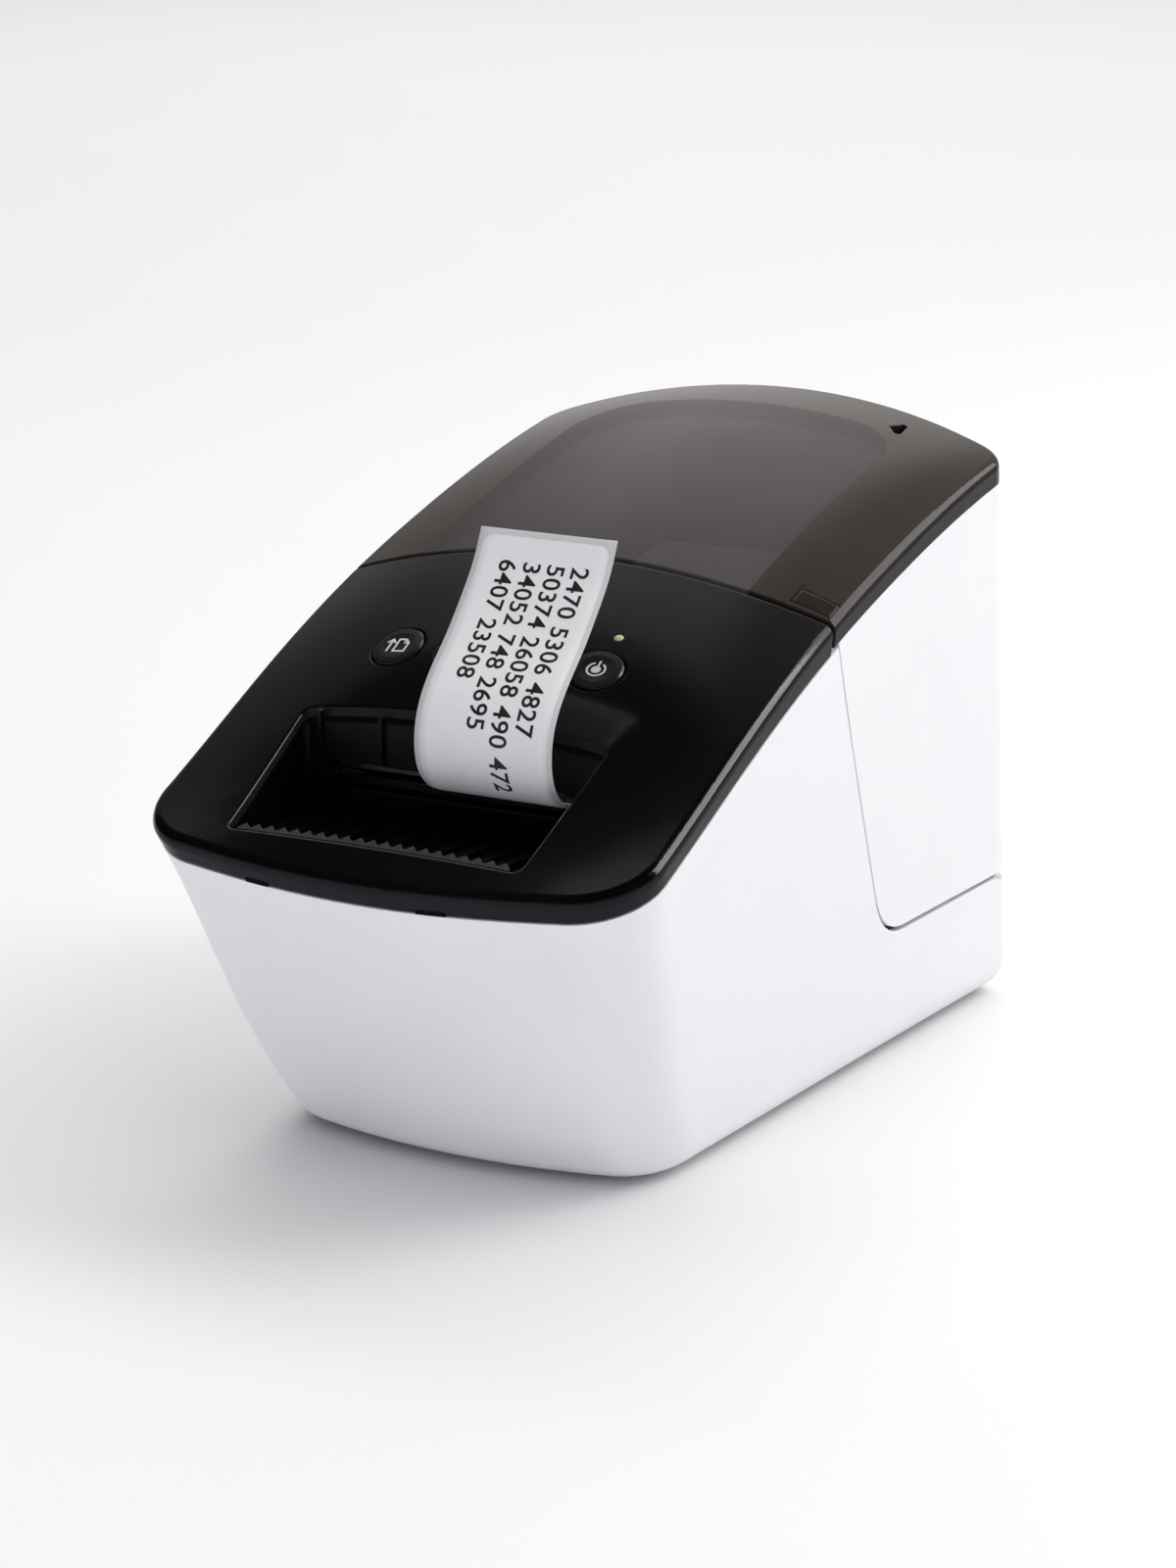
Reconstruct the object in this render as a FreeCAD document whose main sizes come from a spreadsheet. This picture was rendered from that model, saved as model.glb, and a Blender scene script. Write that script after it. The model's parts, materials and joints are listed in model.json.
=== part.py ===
import FreeCAD, Part
import math
import os
import Sketcher

V = FreeCAD.Vector
ROT = FreeCAD.Rotation
PL = FreeCAD.Placement

doc = FreeCAD.newDocument("label_printer")
sheet = doc.addObject("Spreadsheet::Sheet", "Dims")
_row = [0]
VAL = {}


def dim(alias, value):
    """One driving dimension: name in column A, plain number with an alias in column B."""
    _row[0] += 1
    n = _row[0]
    sheet.set("A%d" % n, alias)
    sheet.set("B%d" % n, repr(round(float(value), 5)))
    sheet.setAlias("B%d" % n, alias)
    VAL[alias] = float(value)
    return float(value)


# ------------------------------------------------------------------ driving dimensions
W = dim("overall_width", 128.0)
D = dim("overall_depth", 221.0)
HGT = dim("overall_height", 153.0)
WALL = dim("wall_thickness", 2.4)
FOOT = dim("foot_proud", 1.2)
BAND = dim("band_height", 6.6)
LIDBAND = dim("lid_band_height", 5.7)
REVEAL = dim("band_reveal", 0.5)
LIP_Z = dim("front_lip_height", 77.8)
REAR_Z = dim("rear_edge_height", 144.0)
FRONT_FOOT_Y = dim("front_foot_y", -71.0)
FOOT_HALF_FRONT = dim("foot_half_width_front", 49.5)
FOOT_HALF_REAR = dim("foot_half_width_rear", 63.2)
CORNER_F = dim("front_corner_radius", 19.0)
CORNER_R = dim("rear_corner_radius", 9.0)
TOP_R = dim("top_edge_radius", 2.6)
FOOT_R = dim("foot_edge_radius", 8.0)
SEAM_Y = dim("lid_seam_y", -7.2)
SEAM_BOW = dim("lid_seam_bow", 4.1)
SEAM_GAP = dim("lid_seam_gap", 1.0)
RIM_R = dim("rim_edge_radius", 0.6)
OUT_Y0 = dim("outlet_front_y", -100.6)
OUT_XC = dim("outlet_centre_x", -1.9)
BULGE_X = dim("side_bulge", 2.0)
BULGE_Y = dim("front_bulge", 3.0)
OUT_Y1 = dim("outlet_rear_y", -64.2)
OUT_W0 = dim("outlet_half_width_front", 37.0)
OUT_W1 = dim("outlet_half_width_rear", 39.2)
BTN_R = dim("button_radius", 6.3)
BTN_HOLE_R = dim("button_hole_radius", 6.7)
BTN_PITCH = dim("button_pitch", 17.2)
BTN_X0 = dim("button_row_centre_x", -1.9)
BTN_Y = dim("button_row_y", -46.0)
HINGE_Y = dim("hinge_y", 103.5)
HINGE_Z = dim("hinge_z", 36.5)
PIN_R = dim("hinge_pin_radius", 1.5)
PLATEN_Y = dim("platen_y", -48.0)
PLATEN_Z = dim("platen_z", 79.5)
PLATEN_R = dim("platen_radius", 6.0)
ROLL_Y = dim("roll_y", 42.0)
ROLL_Z = dim("roll_z", 84.0)
ROLL_R = dim("roll_radius", 38.0)
LABEL_X0 = dim("label_left_x", -5.2)
LABEL_X1 = dim("label_right_x", 29.5)
GEAR_M = dim("gear_module", 0.6)
RUN = dim("running_clearance", 0.05)

EDGE_Y = [-109.4, -78.7, -48.0, -12.2, 23.6, 59.4, 85.0, 106.5]
EDGE_Z = [LIP_Z, 90.0, 104.0, 118.1, 128.8, 137.2, 141.6, REAR_Z]
_edge = Part.BSplineCurve()
_edge.interpolate(Points=[V(0, y, z) for y, z in zip(EDGE_Y, EDGE_Z)], Parameters=EDGE_Y)
Z0 = FOOT
HALF = W / 2.0


def z_edge(y):
    """Height of the crease between the crowned top and the side band."""
    if y < EDGE_Y[0] or y > EDGE_Y[-1]:
        k = 0 if y < EDGE_Y[0] else -1
        d = _edge.tangent(EDGE_Y[k])[0]
        return EDGE_Z[k] + (y - EDGE_Y[k]) * d.z / d.y
    return _edge.value(y).z


def crown(y):
    a, b, c = EDGE_Y[0], -2.0, 105.4
    fa, fb, fc = 0.4, 12.3, 9.4
    return (fa * (y - b) * (y - c) / ((a - b) * (a - c)) + fb * (y - a) * (y - c) / ((b - a) * (b - c))
            + fc * (y - a) * (y - b) / ((c - a) * (c - b)))


def z_top(x, y):
    return z_edge(y) + crown(y) * (1 - (x / 63.0) ** 2)


def top_normal(x, y):
    e = 0.2
    return V(-(z_top(x + e, y) - z_top(x - e, y)) / (2 * e), -(z_top(x, y + e) - z_top(x, y - e)) / (2 * e), 1).normalize()


def x_foot(y):
    return FOOT_HALF_FRONT + (FOOT_HALF_REAR - FOOT_HALF_FRONT) * (y + 68.8) / 179.3


def swell(s):
    """Fullness of the lower walls, strongest a third of the way up and gone at the band."""
    return 6.75 * s * (1 - s) ** 2 if s < 1 else 0.0


def x_side(y, z):
    s = (z - Z0) / (z_edge(y) - 1.6 - Z0)
    return x_foot(y) + (HALF - x_foot(y)) * s + BULGE_X * swell(s) * 0.5 * (1 - math.tanh(y / 45.0))


def y_front(x, z):
    s = (z - Z0) / (LIP_Z - 2.0 - Z0)
    w = FOOT_HALF_FRONT + (HALF - FOOT_HALF_FRONT) * s
    return (FRONT_FOOT_Y + (-D / 2 - 0.13 - FRONT_FOOT_Y) * s + (8.5 + 1.0 * s) * (x / max(w, 20)) ** 2
            - BULGE_Y * swell((z - Z0) / (LIP_Z - Z0)))


def y_rear(x, z):
    s = (z - Z0) / (150.0 - Z0)
    return D / 2 + 0.74 - 13.0 * s - (3.0 + 5.0 * s) * (x / 63.0) ** 2


def lin(a, b, n):
    return [a + (b - a) * i / (n - 1) for i in range(n)]


def skin(fn, us, vs):
    s = Part.BSplineSurface()
    s.interpolate([[fn(u, v) for v in vs] for u in us])
    return Part.Face(s)


def under_top(drop):
    """Everything below the crowned top surface lowered by drop."""
    return skin(lambda x, y: V(x, y, z_top(x, y) - drop), lin(-75, 75, 9), lin(-130, 125, 18)).extrude(V(0, 0, -300))


def hull(t, round_edges=False):
    """The closed outer form, inset by t."""
    ys, zs, xs = lin(-130, 125, 18), lin(-8, 170, 15), lin(-110, 110, 11)
    s = Part.makeBox(260, 300, 300, V(-130, -150, Z0 + t))
    s = s.common(skin(lambda y, z: V(x_side(y, z) - t, y, z), ys, zs).extrude(V(-300, 0, 0)))
    s = s.common(skin(lambda y, z: V(-x_side(y, z) + t, y, z), ys, zs).extrude(V(300, 0, 0)))
    s = s.common(skin(lambda x, z: V(x, y_front(x, z) + t * 1.16, z), xs, zs).extrude(V(0, 400, 0)))
    s = s.common(skin(lambda x, z: V(x, y_rear(x, z) - t, z), xs, zs).extrude(V(0, -400, 0)))
    up = [e for e in s.Edges if e.BoundBox.ZLength > 60 and e.BoundBox.XLength < 60]
    s = s.makeFillet(CORNER_F - t, [e for e in up if e.BoundBox.Center.y < 0])
    up = [e for e in s.Edges if e.BoundBox.ZLength > 60 and e.BoundBox.XLength < 60 and e.BoundBox.Center.y > 0
          and len(e.Curve.getD0(e.FirstParameter)) == 3]
    rear = []
    for e in up:
        p = e.valueAt((e.FirstParameter + e.LastParameter) / 2)
        if abs(abs(p.x) - (x_side(p.y, p.z) - t)) < 0.05 and abs(p.y - (y_rear(p.x, p.z) - t)) < 0.05:
            rear.append(e)
    s = s.makeFillet(CORNER_R - t, rear)
    s = s.common(under_top(t * 1.05))
    if round_edges:
        top = []
        for e in s.Edges:
            pts = [e.valueAt(e.FirstParameter + (e.LastParameter - e.FirstParameter) * k) for k in (0.1, 0.5, 0.9)]
            if all(abs(p.z - z_top(p.x, p.y)) < 0.15 for p in pts):
                top.append(e)
        s = s.makeFillet(TOP_R, top)
        s = s.makeFillet(FOOT_R, [e for e in s.Edges if e.BoundBox.ZMax < Z0 + 0.1])
    return s


def prism_x(pts, x0, x1):
    """Closed (y, z) outline carried along X."""
    w = Part.makePolygon([V(x0, y, z) for y, z in pts] + [V(x0, pts[0][0], pts[0][1])])
    return Part.Face(w).extrude(V(x1 - x0, 0, 0))


def prism_z(pts, z0, z1):
    w = Part.makePolygon([V(x, y, z0) for x, y in pts] + [V(pts[0][0], pts[0][1], z0)])
    return Part.Face(w).extrude(V(0, 0, z1 - z0))


def bx(x0, x1, y0, y1, z0, z1):
    return Part.makeBox(x1 - x0, y1 - y0, z1 - z0, V(x0, y0, z0))


def cx(r, x0, x1, y, z):
    return Part.makeCylinder(r, x1 - x0, V(x0, y, z), V(1, 0, 0))


def cyl(r, p, d, h):
    return Part.makeCylinder(r, h, p, d)


NODES = {}


def freeform(label, shape):
    """A piece whose outline is the printer's own free curve."""
    if len(shape.Solids) == 1:
        shape = shape.Solids[0]
    o = doc.addObject("Part::Feature", label)
    o.Label = label
    o.Shape = shape
    o.Placement = PL()
    NODES[label] = o
    return o


# ------------------------------------------------------------------ outer form
H = hull(0.0, True)
I = hull(WALL)
SHELL = H.cut(I)


def seam_side(shift, sign):
    """All that lies ahead of (sign -1) or behind (sign +1) the bowed lid seam."""
    f = skin(lambda x, z: V(x, SEAM_Y + shift - SEAM_BOW * (1 - (x / 63.0) ** 2), z), lin(-75, 75, 7), lin(20, 180, 3))
    return f.extrude(V(0, sign * 250, 0))


# hood outline seen from the side: slanted front seam, round lower corner, level lower gap
HOOD_A = (-5.5, 118.0)
HOOD_B = (27.3, 45.0)


def hood_outline(dy, dz, rear_z):
    sl = (HOOD_B[0] - HOOD_A[0]) / (HOOD_B[1] - HOOD_A[1])
    pts = [(HOOD_A[0] + dy + sl * (175 - HOOD_A[1]), 175.0), (HOOD_B[0] + dy, HOOD_B[1])]
    p0, p1, p2 = (HOOD_B[0] + dy, HOOD_B[1]), (HOOD_B[0] + dy - sl * 11.0, 34.0 + dz), (44.0, 34.0 + dz)
    for k in range(1, 9):
        t = k / 8.0
        pts.append(((1 - t) ** 2 * p0[0] + 2 * t * (1 - t) * p1[0] + t * t * p2[0],
                    (1 - t) ** 2 * p0[1] + 2 * t * (1 - t) * p1[1] + t * t * p2[1]))
    pts += [(94.0, 33.6 + dz), (98.5, rear_z), (130.0, rear_z), (130.0, 175.0)]
    return pts


above_cover = bx(-140, 140, -160, 150, -20, 220).cut(under_top(BAND))
above_lid = bx(-140, 140, -160, 150, -20, 220).cut(under_top(LIDBAND))

# ---- front cover
cover = SHELL.common(above_cover).common(seam_side(-SEAM_GAP / 2, -1))
opening = prism_z([(OUT_XC - OUT_W0, OUT_Y0), (OUT_XC + OUT_W0, OUT_Y0), (OUT_XC + OUT_W1, OUT_Y1), (OUT_XC - OUT_W1, OUT_Y1)], 60, 130)
opening = opening.makeFillet(2.2, [e for e in opening.Edges if e.BoundBox.ZLength > 50])
cover = cover.cut(opening)
# two release notches in the lower edge of the front band
NOTCH_H = dim("band_notch_height", 1.0)
band_low = bx(-140, 140, -160, 150, -20, 220).cut(under_top(BAND - NOTCH_H * 1.15))
for a, b in ((-29.8, -23.6), (14.2, 21.4)):
    cover = cover.cut(bx(a, b, -120, -97, 50, 90).cut(band_low))
BTN = []
for i, nm in enumerate(("feed_button", "cut_button", "editor_button", "power_button")):
    x = BTN_X0 + BTN_PITCH * (i - 1.5)
    p = V(x, BTN_Y, z_top(x, BTN_Y))
    BTN.append((nm, p, top_normal(x, BTN_Y)))
LEDS = []
for nm, i in (("editor_lamp_pipe", 2), ("status_lamp_pipe", 3)):
    x = BTN_X0 + BTN_PITCH * (i - 1.5)
    y = BTN_Y + 10.6
    LEDS.append((nm, V(x, y, z_top(x, y)), top_normal(x, y)))
for nm, p, n in BTN:
    cover = cover.cut(cyl(BTN_HOLE_R, p - n * 8, n, 14))
LED_R = dim("lamp_pipe_radius", 1.1)
for nm, p, n in LEDS:
    cover = cover.cut(cyl(LED_R + 0.03, p - n * 8, n, 14))


def mid_of(e):
    return e.valueAt((e.FirstParameter + e.LastParameter) / 2.0)


def on_top(e):
    p = mid_of(e)
    return abs(p.z - z_top(p.x, p.y)) < 0.2


def seam_edges(shape):
    """Outer edges of the cut face along the lid seam, over the top and down both bands."""
    out = []
    for e in shape.Edges:
        b = e.BoundBox
        if b.YMin > SEAM_Y - 6.0 and b.YMax < SEAM_Y + 3.0 and max(abs(b.XMin), abs(b.XMax)) > 62.0 and e.Length > 2.9:
            out.append(e)
    return out


def rounded(shape, r, edges, what):
    """Soft moulded edge; stops if the result isn't one sound solid."""
    if not edges:
        raise SystemExit("no edges to round: " + what)
    out = shape.makeFillet(r, edges)
    print(what, len(edges), out.isValid(), len(out.Solids), round(shape.Volume - out.Volume, 2))
    if not out.isValid() or len(out.Solids) != 1 or out.Volume >= shape.Volume:
        raise SystemExit("rounding failed: " + what)
    return out


cover = cover.Solids[0]
cover = rounded(cover, RIM_R, [e for e in cover.Edges if OUT_Y0 - 0.5 < mid_of(e).y < OUT_Y1 + 0.5 and abs(mid_of(e).x - OUT_XC) < OUT_W1 + 0.5 and on_top(e)], "outlet rim")
cover = rounded(cover, 0.35, [e for e in cover.Edges if BTN_Y - 7.5 < mid_of(e).y < BTN_Y + 7.5 and abs(mid_of(e).x) < 45 and on_top(e)], "button hole rims")
cover = rounded(cover, 0.5, seam_edges(cover), "cover seam edge")
freeform("front_cover", cover)
print("cover", cover.isValid(), len(cover.Solids))

# ---- lid window, lid hood
window = SHELL.common(above_lid).common(seam_side(SEAM_GAP / 2, +1))
vent = prism_z([(36.4, 81.4), (40.9, 76.2), (39.6, 86.2)], 130, 160)
vent = vent.makeFillet(0.9, [e for e in vent.Edges if e.BoundBox.ZLength > 20])
window = window.cut(vent).Solids[0]
window = rounded(window, 0.3, [e for e in window.Edges if 74.0 < mid_of(e).y < 88.0 and 34.0 < mid_of(e).x < 43.0 and on_top(e)], "vent rim")
window = rounded(window, 0.5, seam_edges(window), "window seam edge")
freeform("lid_window", window)
hood = SHELL.common(under_top(LIDBAND)).common(prism_x(hood_outline(0, 0, 33.6), -140, 140)).common(seam_side(SEAM_GAP / 2, +1))
for sx in (-1, 1):
    a, b = sorted((sx * 26.0, sx * 32.0))
    knuckle = cx(2.9, a, b, HINGE_Y, HINGE_Z).fuse(bx(a, b, HINGE_Y - 1.0, HINGE_Y + 1.6, HINGE_Z, HINGE_Z + 4.5).common(H))
    hood = hood.fuse(knuckle.common(H))
    for c, d in ((19.6, 26.0), (32.0, 38.4)):
        a, b = sorted((sx * c, sx * d))
        hood = hood.cut(bx(a, b, 95, 115, 30, 40.4))
    hood = hood.cut(cx(PIN_R + RUN, min(sx * 18, sx * 40), max(sx * 18, sx * 40), HINGE_Y, HINGE_Z))
freeform("lid_hood", hood)
print("window", window.isValid(), len(window.Solids), "hood", hood.isValid(), len(hood.Solids))

# ---- lid inner frame: dark border under the window, carries the hood
inner_a, inner_b = hull(WALL + 0.03), hull(WALL + 2.2)
lid_frame = inner_a.cut(inner_b).common(seam_side(0.9, +1)).cut(under_top(17.0))
win = bx(-43, 43, -40, 78, 60, 200)
win = win.makeFillet(16, [e for e in win.Edges if e.BoundBox.ZLength > 100 and e.BoundBox.Center.y > 0])
lid_frame = lid_frame.cut(win)
for a, b in ((-75, -55.5), (55.5, 75)):
    lid_frame = lid_frame.cut(bx(a, b, -20, 6.0, 60, 115))
lid_frame = lid_frame.cut(prism_z([(35.2, 81.2), (41.7, 73.6), (40.4, 88.2)], 130, 160))
for a, b in ((-55, -49), (49, 55)):
    hook = bx(a, b, -3.6, -1.2, 98.5, 140).fuse(bx(a, b, -4.2, -1.2, 98.5, 101.5))
    lid_frame = lid_frame.fuse(hook.common(inner_a))
freeform("lid_frame", lid_frame)
print("lid_frame", lid_frame.isValid(), len(lid_frame.Solids))

# ---- lower housing
housing = SHELL.common(under_top(BAND + REVEAL)).cut(prism_x(hood_outline(-0.5, -1.1, 31.2), -140, 140))
print("housing", housing.isValid(), len(housing.Solids), [round(s.Volume) for s in housing.Solids])

for sx in (-1, 1):
    for c, d in ((20.0, 25.6), (32.4, 38.0)):
        a, b = sorted((sx * c, sx * d))
        post = bx(a, b, HINGE_Y - 2.6, HINGE_Y + 2.2, 18, HINGE_Z).common(I).fuse(cx(2.6, a, b, HINGE_Y, HINGE_Z))
        housing = housing.fuse(post)
    housing = housing.cut(cx(PIN_R + 0.01, min(sx * 19, sx * 39), max(sx * 19, sx * 39), HINGE_Y, HINGE_Z))
catch_in = hull(WALL - 0.3)
for a, b in ((-62, -49), (49, 62)):
    housing = housing.fuse(bx(a, b, -9.5, -5.0, 96.5, 102.0).common(catch_in))
PLATE = [(-38.0, -52.0), (38.0, -52.0), (48.0, 92.0), (-48.0, 92.0)]
housing = housing.cut(prism_z(PLATE, -5, 4.5))
INLET_X, INLET_Z = dim("inlet_x", -30.0), dim("inlet_z", 18.0)
PORT_X, PORT_Z = dim("port_x", 24.0), dim("port_z", 17.9)
housing = housing.cut(bx(INLET_X - 10.5, INLET_X + 10.5, 98, 116, INLET_Z - 6.0, INLET_Z + 6.0))
housing = housing.cut(bx(PORT_X - 6.3, PORT_X + 6.3, 98, 116, PORT_Z - 5.8, PORT_Z + 5.8))
freeform("base_housing", housing)
print("housing", housing.isValid(), len(housing.Solids), [round(s.Volume) for s in housing.Solids])


# ------------------------------------------------------------------ construction helpers
def alias_ok(s):
    return s.replace("-", "_")


def bind(obj, prop, alias, value):
    dim(alias, value)
    obj.setExpression(prop, "Dims." + alias)


_n = [0]


def box(size, at, name=None, tag=None):
    _n[0] += 1
    o = doc.addObject("Part::Box", name or "block%d" % _n[0])
    t = tag or name or "block%d" % _n[0]
    for p, a, v in (("Length", "len_x", size[0]), ("Width", "len_y", size[1]), ("Height", "len_z", size[2])):
        bind(o, p, "%s_%s" % (t, a), v)
    o.Placement = PL(V(*at), ROT())
    return o


def rod(r, h, at, axis=(1, 0, 0), name=None):
    _n[0] += 1
    t = name or "rod%d" % _n[0]
    o = doc.addObject("Part::Cylinder", t)
    bind(o, "Radius", t + "_rad", r)
    bind(o, "Height", t + "_len", h)
    o.Placement = PL(V(*at), ROT(V(0, 0, 1), V(*axis)))
    return o


def cutobj(base, tool, name=None):
    _n[0] += 1
    o = doc.addObject("Part::Cut", name or "cut%d" % _n[0])
    o.Base, o.Tool = base, tool
    return o


def fuseobj(parts, name=None):
    _n[0] += 1
    o = doc.addObject("Part::MultiFuse", name or "fuse%d" % _n[0])
    o.Shapes = parts
    return o


def group(parts, name):
    o = doc.addObject("Part::Compound", name)
    o.Links = parts
    return o


def node(label, o):
    o.Label = label
    NODES[label] = o
    return o


def plane_of(body, role):
    return [f for f in body.Origin.OriginFeatures if f.Role == role][0]


def add_sketch(body, role, name, outline=None, circles=(), offset=0.0):
    sk = body.newObject("Sketcher::SketchObject", name)
    sk.AttachmentSupport = [(plane_of(body, role), "")]
    sk.MapMode = "FlatFace"
    if offset:
        sk.AttachmentOffset = PL(V(0, 0, offset), ROT())
    if outline:
        n = len(outline)
        lines = [Part.LineSegment(V(outline[k][0], outline[k][1], 0), V(outline[(k + 1) % n][0], outline[(k + 1) % n][1], 0))
                 for k in range(n)]
        sk.addGeometry(lines, False)
    for u, v, r in circles:
        g = sk.addGeometry(Part.Circle(V(u, v, 0), V(0, 0, 1), r), False)
        c = sk.addConstraint(Sketcher.Constraint("Radius", g, r))
        _n[0] += 1
        a = "%s_rad%d" % (name, c)
        dim(a, r)
        sk.setExpression("Constraints[%d]" % c, "Dims." + a)
    return sk


def pad_body(label, role, outline, circles, length, at, as_node=True):
    """One padded profile. YZ profiles grow along +X, XY profiles along +Z, XZ profiles along -Y."""
    body = doc.addObject("PartDesign::Body", label)
    sk = add_sketch(body, role, label + "_profile", outline, circles)
    pad = body.newObject("PartDesign::Pad", label + "_pad")
    pad.Profile = sk
    bind(pad, "Length", label + "_depth", length)
    body.Placement = PL(V(*at), ROT())
    if as_node:
        node(label, body)
    return body


def px(label, outline, circles, x0, x1, as_node=True):
    return pad_body(label, "YZ_Plane", outline, circles, x1 - x0, (x0, 0, 0), as_node)


def pz(label, outline, circles, z0, z1, as_node=True):
    return pad_body(label, "XY_Plane", outline, circles, z1 - z0, (0, 0, z0), as_node)


def turned(label, profile, at, axis, as_node=True):
    """A turned piece: closed (radius, height) outline spun about its own axis."""
    body = doc.addObject("PartDesign::Body", label)
    sk = add_sketch(body, "XZ_Plane", label + "_profile", profile)
    rev = body.newObject("PartDesign::Revolution", label + "_rev")
    rev.Profile = sk
    rev.ReferenceAxis = ([f for f in body.Origin.OriginFeatures if f.Role == "Z_Axis"][0], [""])
    bind(rev, "Angle", label + "_sweep", 360.0)
    body.Placement = PL(V(*at), ROT(V(0, 0, 1), V(*axis)))
    if as_node:
        node(label, body)
    return body


def rect(y0, y1, z0, z1):
    return [(y0, z0), (y1, z0), (y1, z1), (y0, z1)]


def gear_outline(teeth, cy, cz, phase_deg, slack=0.10, add=0.92, ded=1.2):
    """Involute spur gear outline in (y, z), one tooth centred on phase_deg."""
    m = GEAR_M
    rp = m * teeth / 2.0
    rb = rp * math.cos(math.radians(20))
    ra, rr = rp + add * m, rp - ded * m
    inv = lambda a: math.tan(a) - a
    half_p = math.pi / (2 * teeth) - slack / (2 * rp)

    def half(r):
        if r <= rb:
            return half_p + inv(math.radians(20))
        return half_p + inv(math.radians(20)) - inv(math.acos(rb / r))
    rs = [rr, max(rb, rr) + 0.02] + [max(rb, rr) + (ra - max(rb, rr)) * k for k in (0.35, 0.7, 1.0)]
    pts = []
    for i in range(teeth):
        c = math.radians(phase_deg) + 2 * math.pi * i / teeth
        for r in rs:
            a = c - half(r)
            pts.append((cy + r * math.cos(a), cz + r * math.sin(a)))
        for r in reversed(rs):
            a = c + half(r)
            pts.append((cy + r * math.cos(a), cz + r * math.sin(a)))
    return pts


# ------------------------------------------------------------------ bottom
fl = 5.0
lower = pz("plate_lower", [(-37.8, -51.8), (37.8, -51.8), (47.8, 91.8), (-47.8, 91.8)], [], Z0, 3.62, False)
upper = pz("plate_upper", [(-42.0, -52 - fl), (42.0, -52 - fl), (48 + fl, 92 + fl), (-48 - fl, 92 + fl)], [], 3.62, 5.4, False)
FEET = [(-30, -46), (30, -46), (-38, 80), (38, 80)]
posts = []
BOARD = (4.0, 41.5, -8.0, 98.0)
PSU = (-48.0, -6.0, 14.0, 88.0)
STAND = []
for b in (BOARD, PSU):
    for x in (b[0] + 4, b[1] - 4):
        for y in (b[2] + 4, b[3] - 4):
            STAND.append((x, y))
for x, y in STAND:
    posts.append(rod(3.0, 5.2, (x, y, 5.3), (0, 0, 1)))
solid_plate = fuseobj([lower, upper] + posts)
holes = [rod(6.05, 1.3, (x, y, Z0 - 0.1), (0, 0, 1)) for x, y in FEET]
SCREWS = [(-32, -35), (32, -35), (-32, -19), (32, -19)]
holes += [rod(3.2, 2.2, (x, y, Z0 - 0.1), (0, 0, 1)) for x, y in SCREWS[2:4]]
holes += [rod(1.6, 8.0, (x, y, Z0 - 0.1), (0, 0, 1)) for x, y in SCREWS[2:4]]
holes += [rod(1.25, 9.0, (x, y, 4.0), (0, 0, 1)) for x, y in STAND]
holes += [rod(1.6, 8.0, (x, y, Z0 - 0.1), (0, 0, 1)) for x, y in SCREWS[:2]]
holes += [rod(3.2, 2.2, (x, y, Z0 - 0.1), (0, 0, 1)) for x, y in SCREWS[:2]]
node("bottom_plate", cutobj(solid_plate, fuseobj(holes), "bottom_plate"))
feet = []
for k, (x, y) in enumerate(FEET):
    feet.append(turned("foot%d" % k, [(0, 0), (5.2, 0), (5.7, 0.5), (6.0, 1.2), (6.0, 2.38), (0, 2.38)], (x, y, 0), (0, 0, 1), False))
node("rubber_feet", group(feet, "rubber_feet"))
scr = []
for k, (x, y) in enumerate(SCREWS[:4]):
    scr.append(turned("case_screw%d" % k, [(0, 1.9), (0.9, 1.9), (0.9, 1.4), (2.9, 1.4), (2.9, 3.2), (1.5, 3.2), (1.5, 13.0), (0, 13.6)],
                      (x, y, 0), (0, 0, 1), False))
node("case_screws", group(scr, "case_screws"))

# ------------------------------------------------------------------ mechanism deck, print frame
top = box((88, 50, 2.9), (-44, -64, 55.8), tag="deck_top")
legs = [box((8, 8, 50.4), (x - 4, y - 4, 5.45), tag="deck_leg%d" % k) for k, (x, y) in enumerate(SCREWS[:4])]
deck = fuseobj([top] + legs)
drill = fuseobj([rod(1.55, 10.0, (x, y, 5.0), (0, 0, 1)) for x, y in SCREWS[:4]]
                + [rod(1.3, 5.0, (x, y, 54.8), (0, 0, 1)) for x in (-34, 34) for y in (-44, -22)])
node("mech_deck", cutobj(deck, drill, "mech_deck"))
FR_Z = 58.75
side = [(-60, FR_Z), (-16, FR_Z), (-16, 104), (-29, 104), (-38, 97.5), (-60, 97.5)]
IDL = (PLATEN_Y + 12 * math.cos(math.radians(-60)), PLATEN_Z + 12 * math.sin(math.radians(-60)))
MOT = (IDL[0] + 15 * math.cos(math.radians(10)), IDL[1] + 15 * math.sin(math.radians(10)))
PIV = (-24.0, 100.0)
CUT = (-57.0, 67.0)
left = px("frame_left", side, [(PLATEN_Y, PLATEN_Z, 4.02), (PIV[0], PIV[1], 1.52), (IDL[0], IDL[1], 1.52), (MOT[0], MOT[1], 3.6)],
          -42.2, -41.0, False)
right = px("frame_right", side, [(PLATEN_Y, PLATEN_Z, 4.02), (PIV[0], PIV[1], 1.52), (CUT[0], CUT[1], 2.4)], 41.0, 42.2, False)
floor = pz("frame_floor", [(-41.5, -60), (41.5, -60), (41.5, -16), (-41.5, -16)], [(x, y, 1.65) for x in (-34, 34) for y in (-44, -22)],
           FR_Z, FR_Z + 1.2, False)
node("print_frame", fuseobj([left, right, floor], "print_frame"))
pz("frame_bridge", [(-42.2, -59.5), (42.2, -59.5), (42.2, -40), (-42.2, -40)], [(-25, -49, 1.2), (25, -49, 1.2)], 97.52, 98.7)
fs = []
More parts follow.
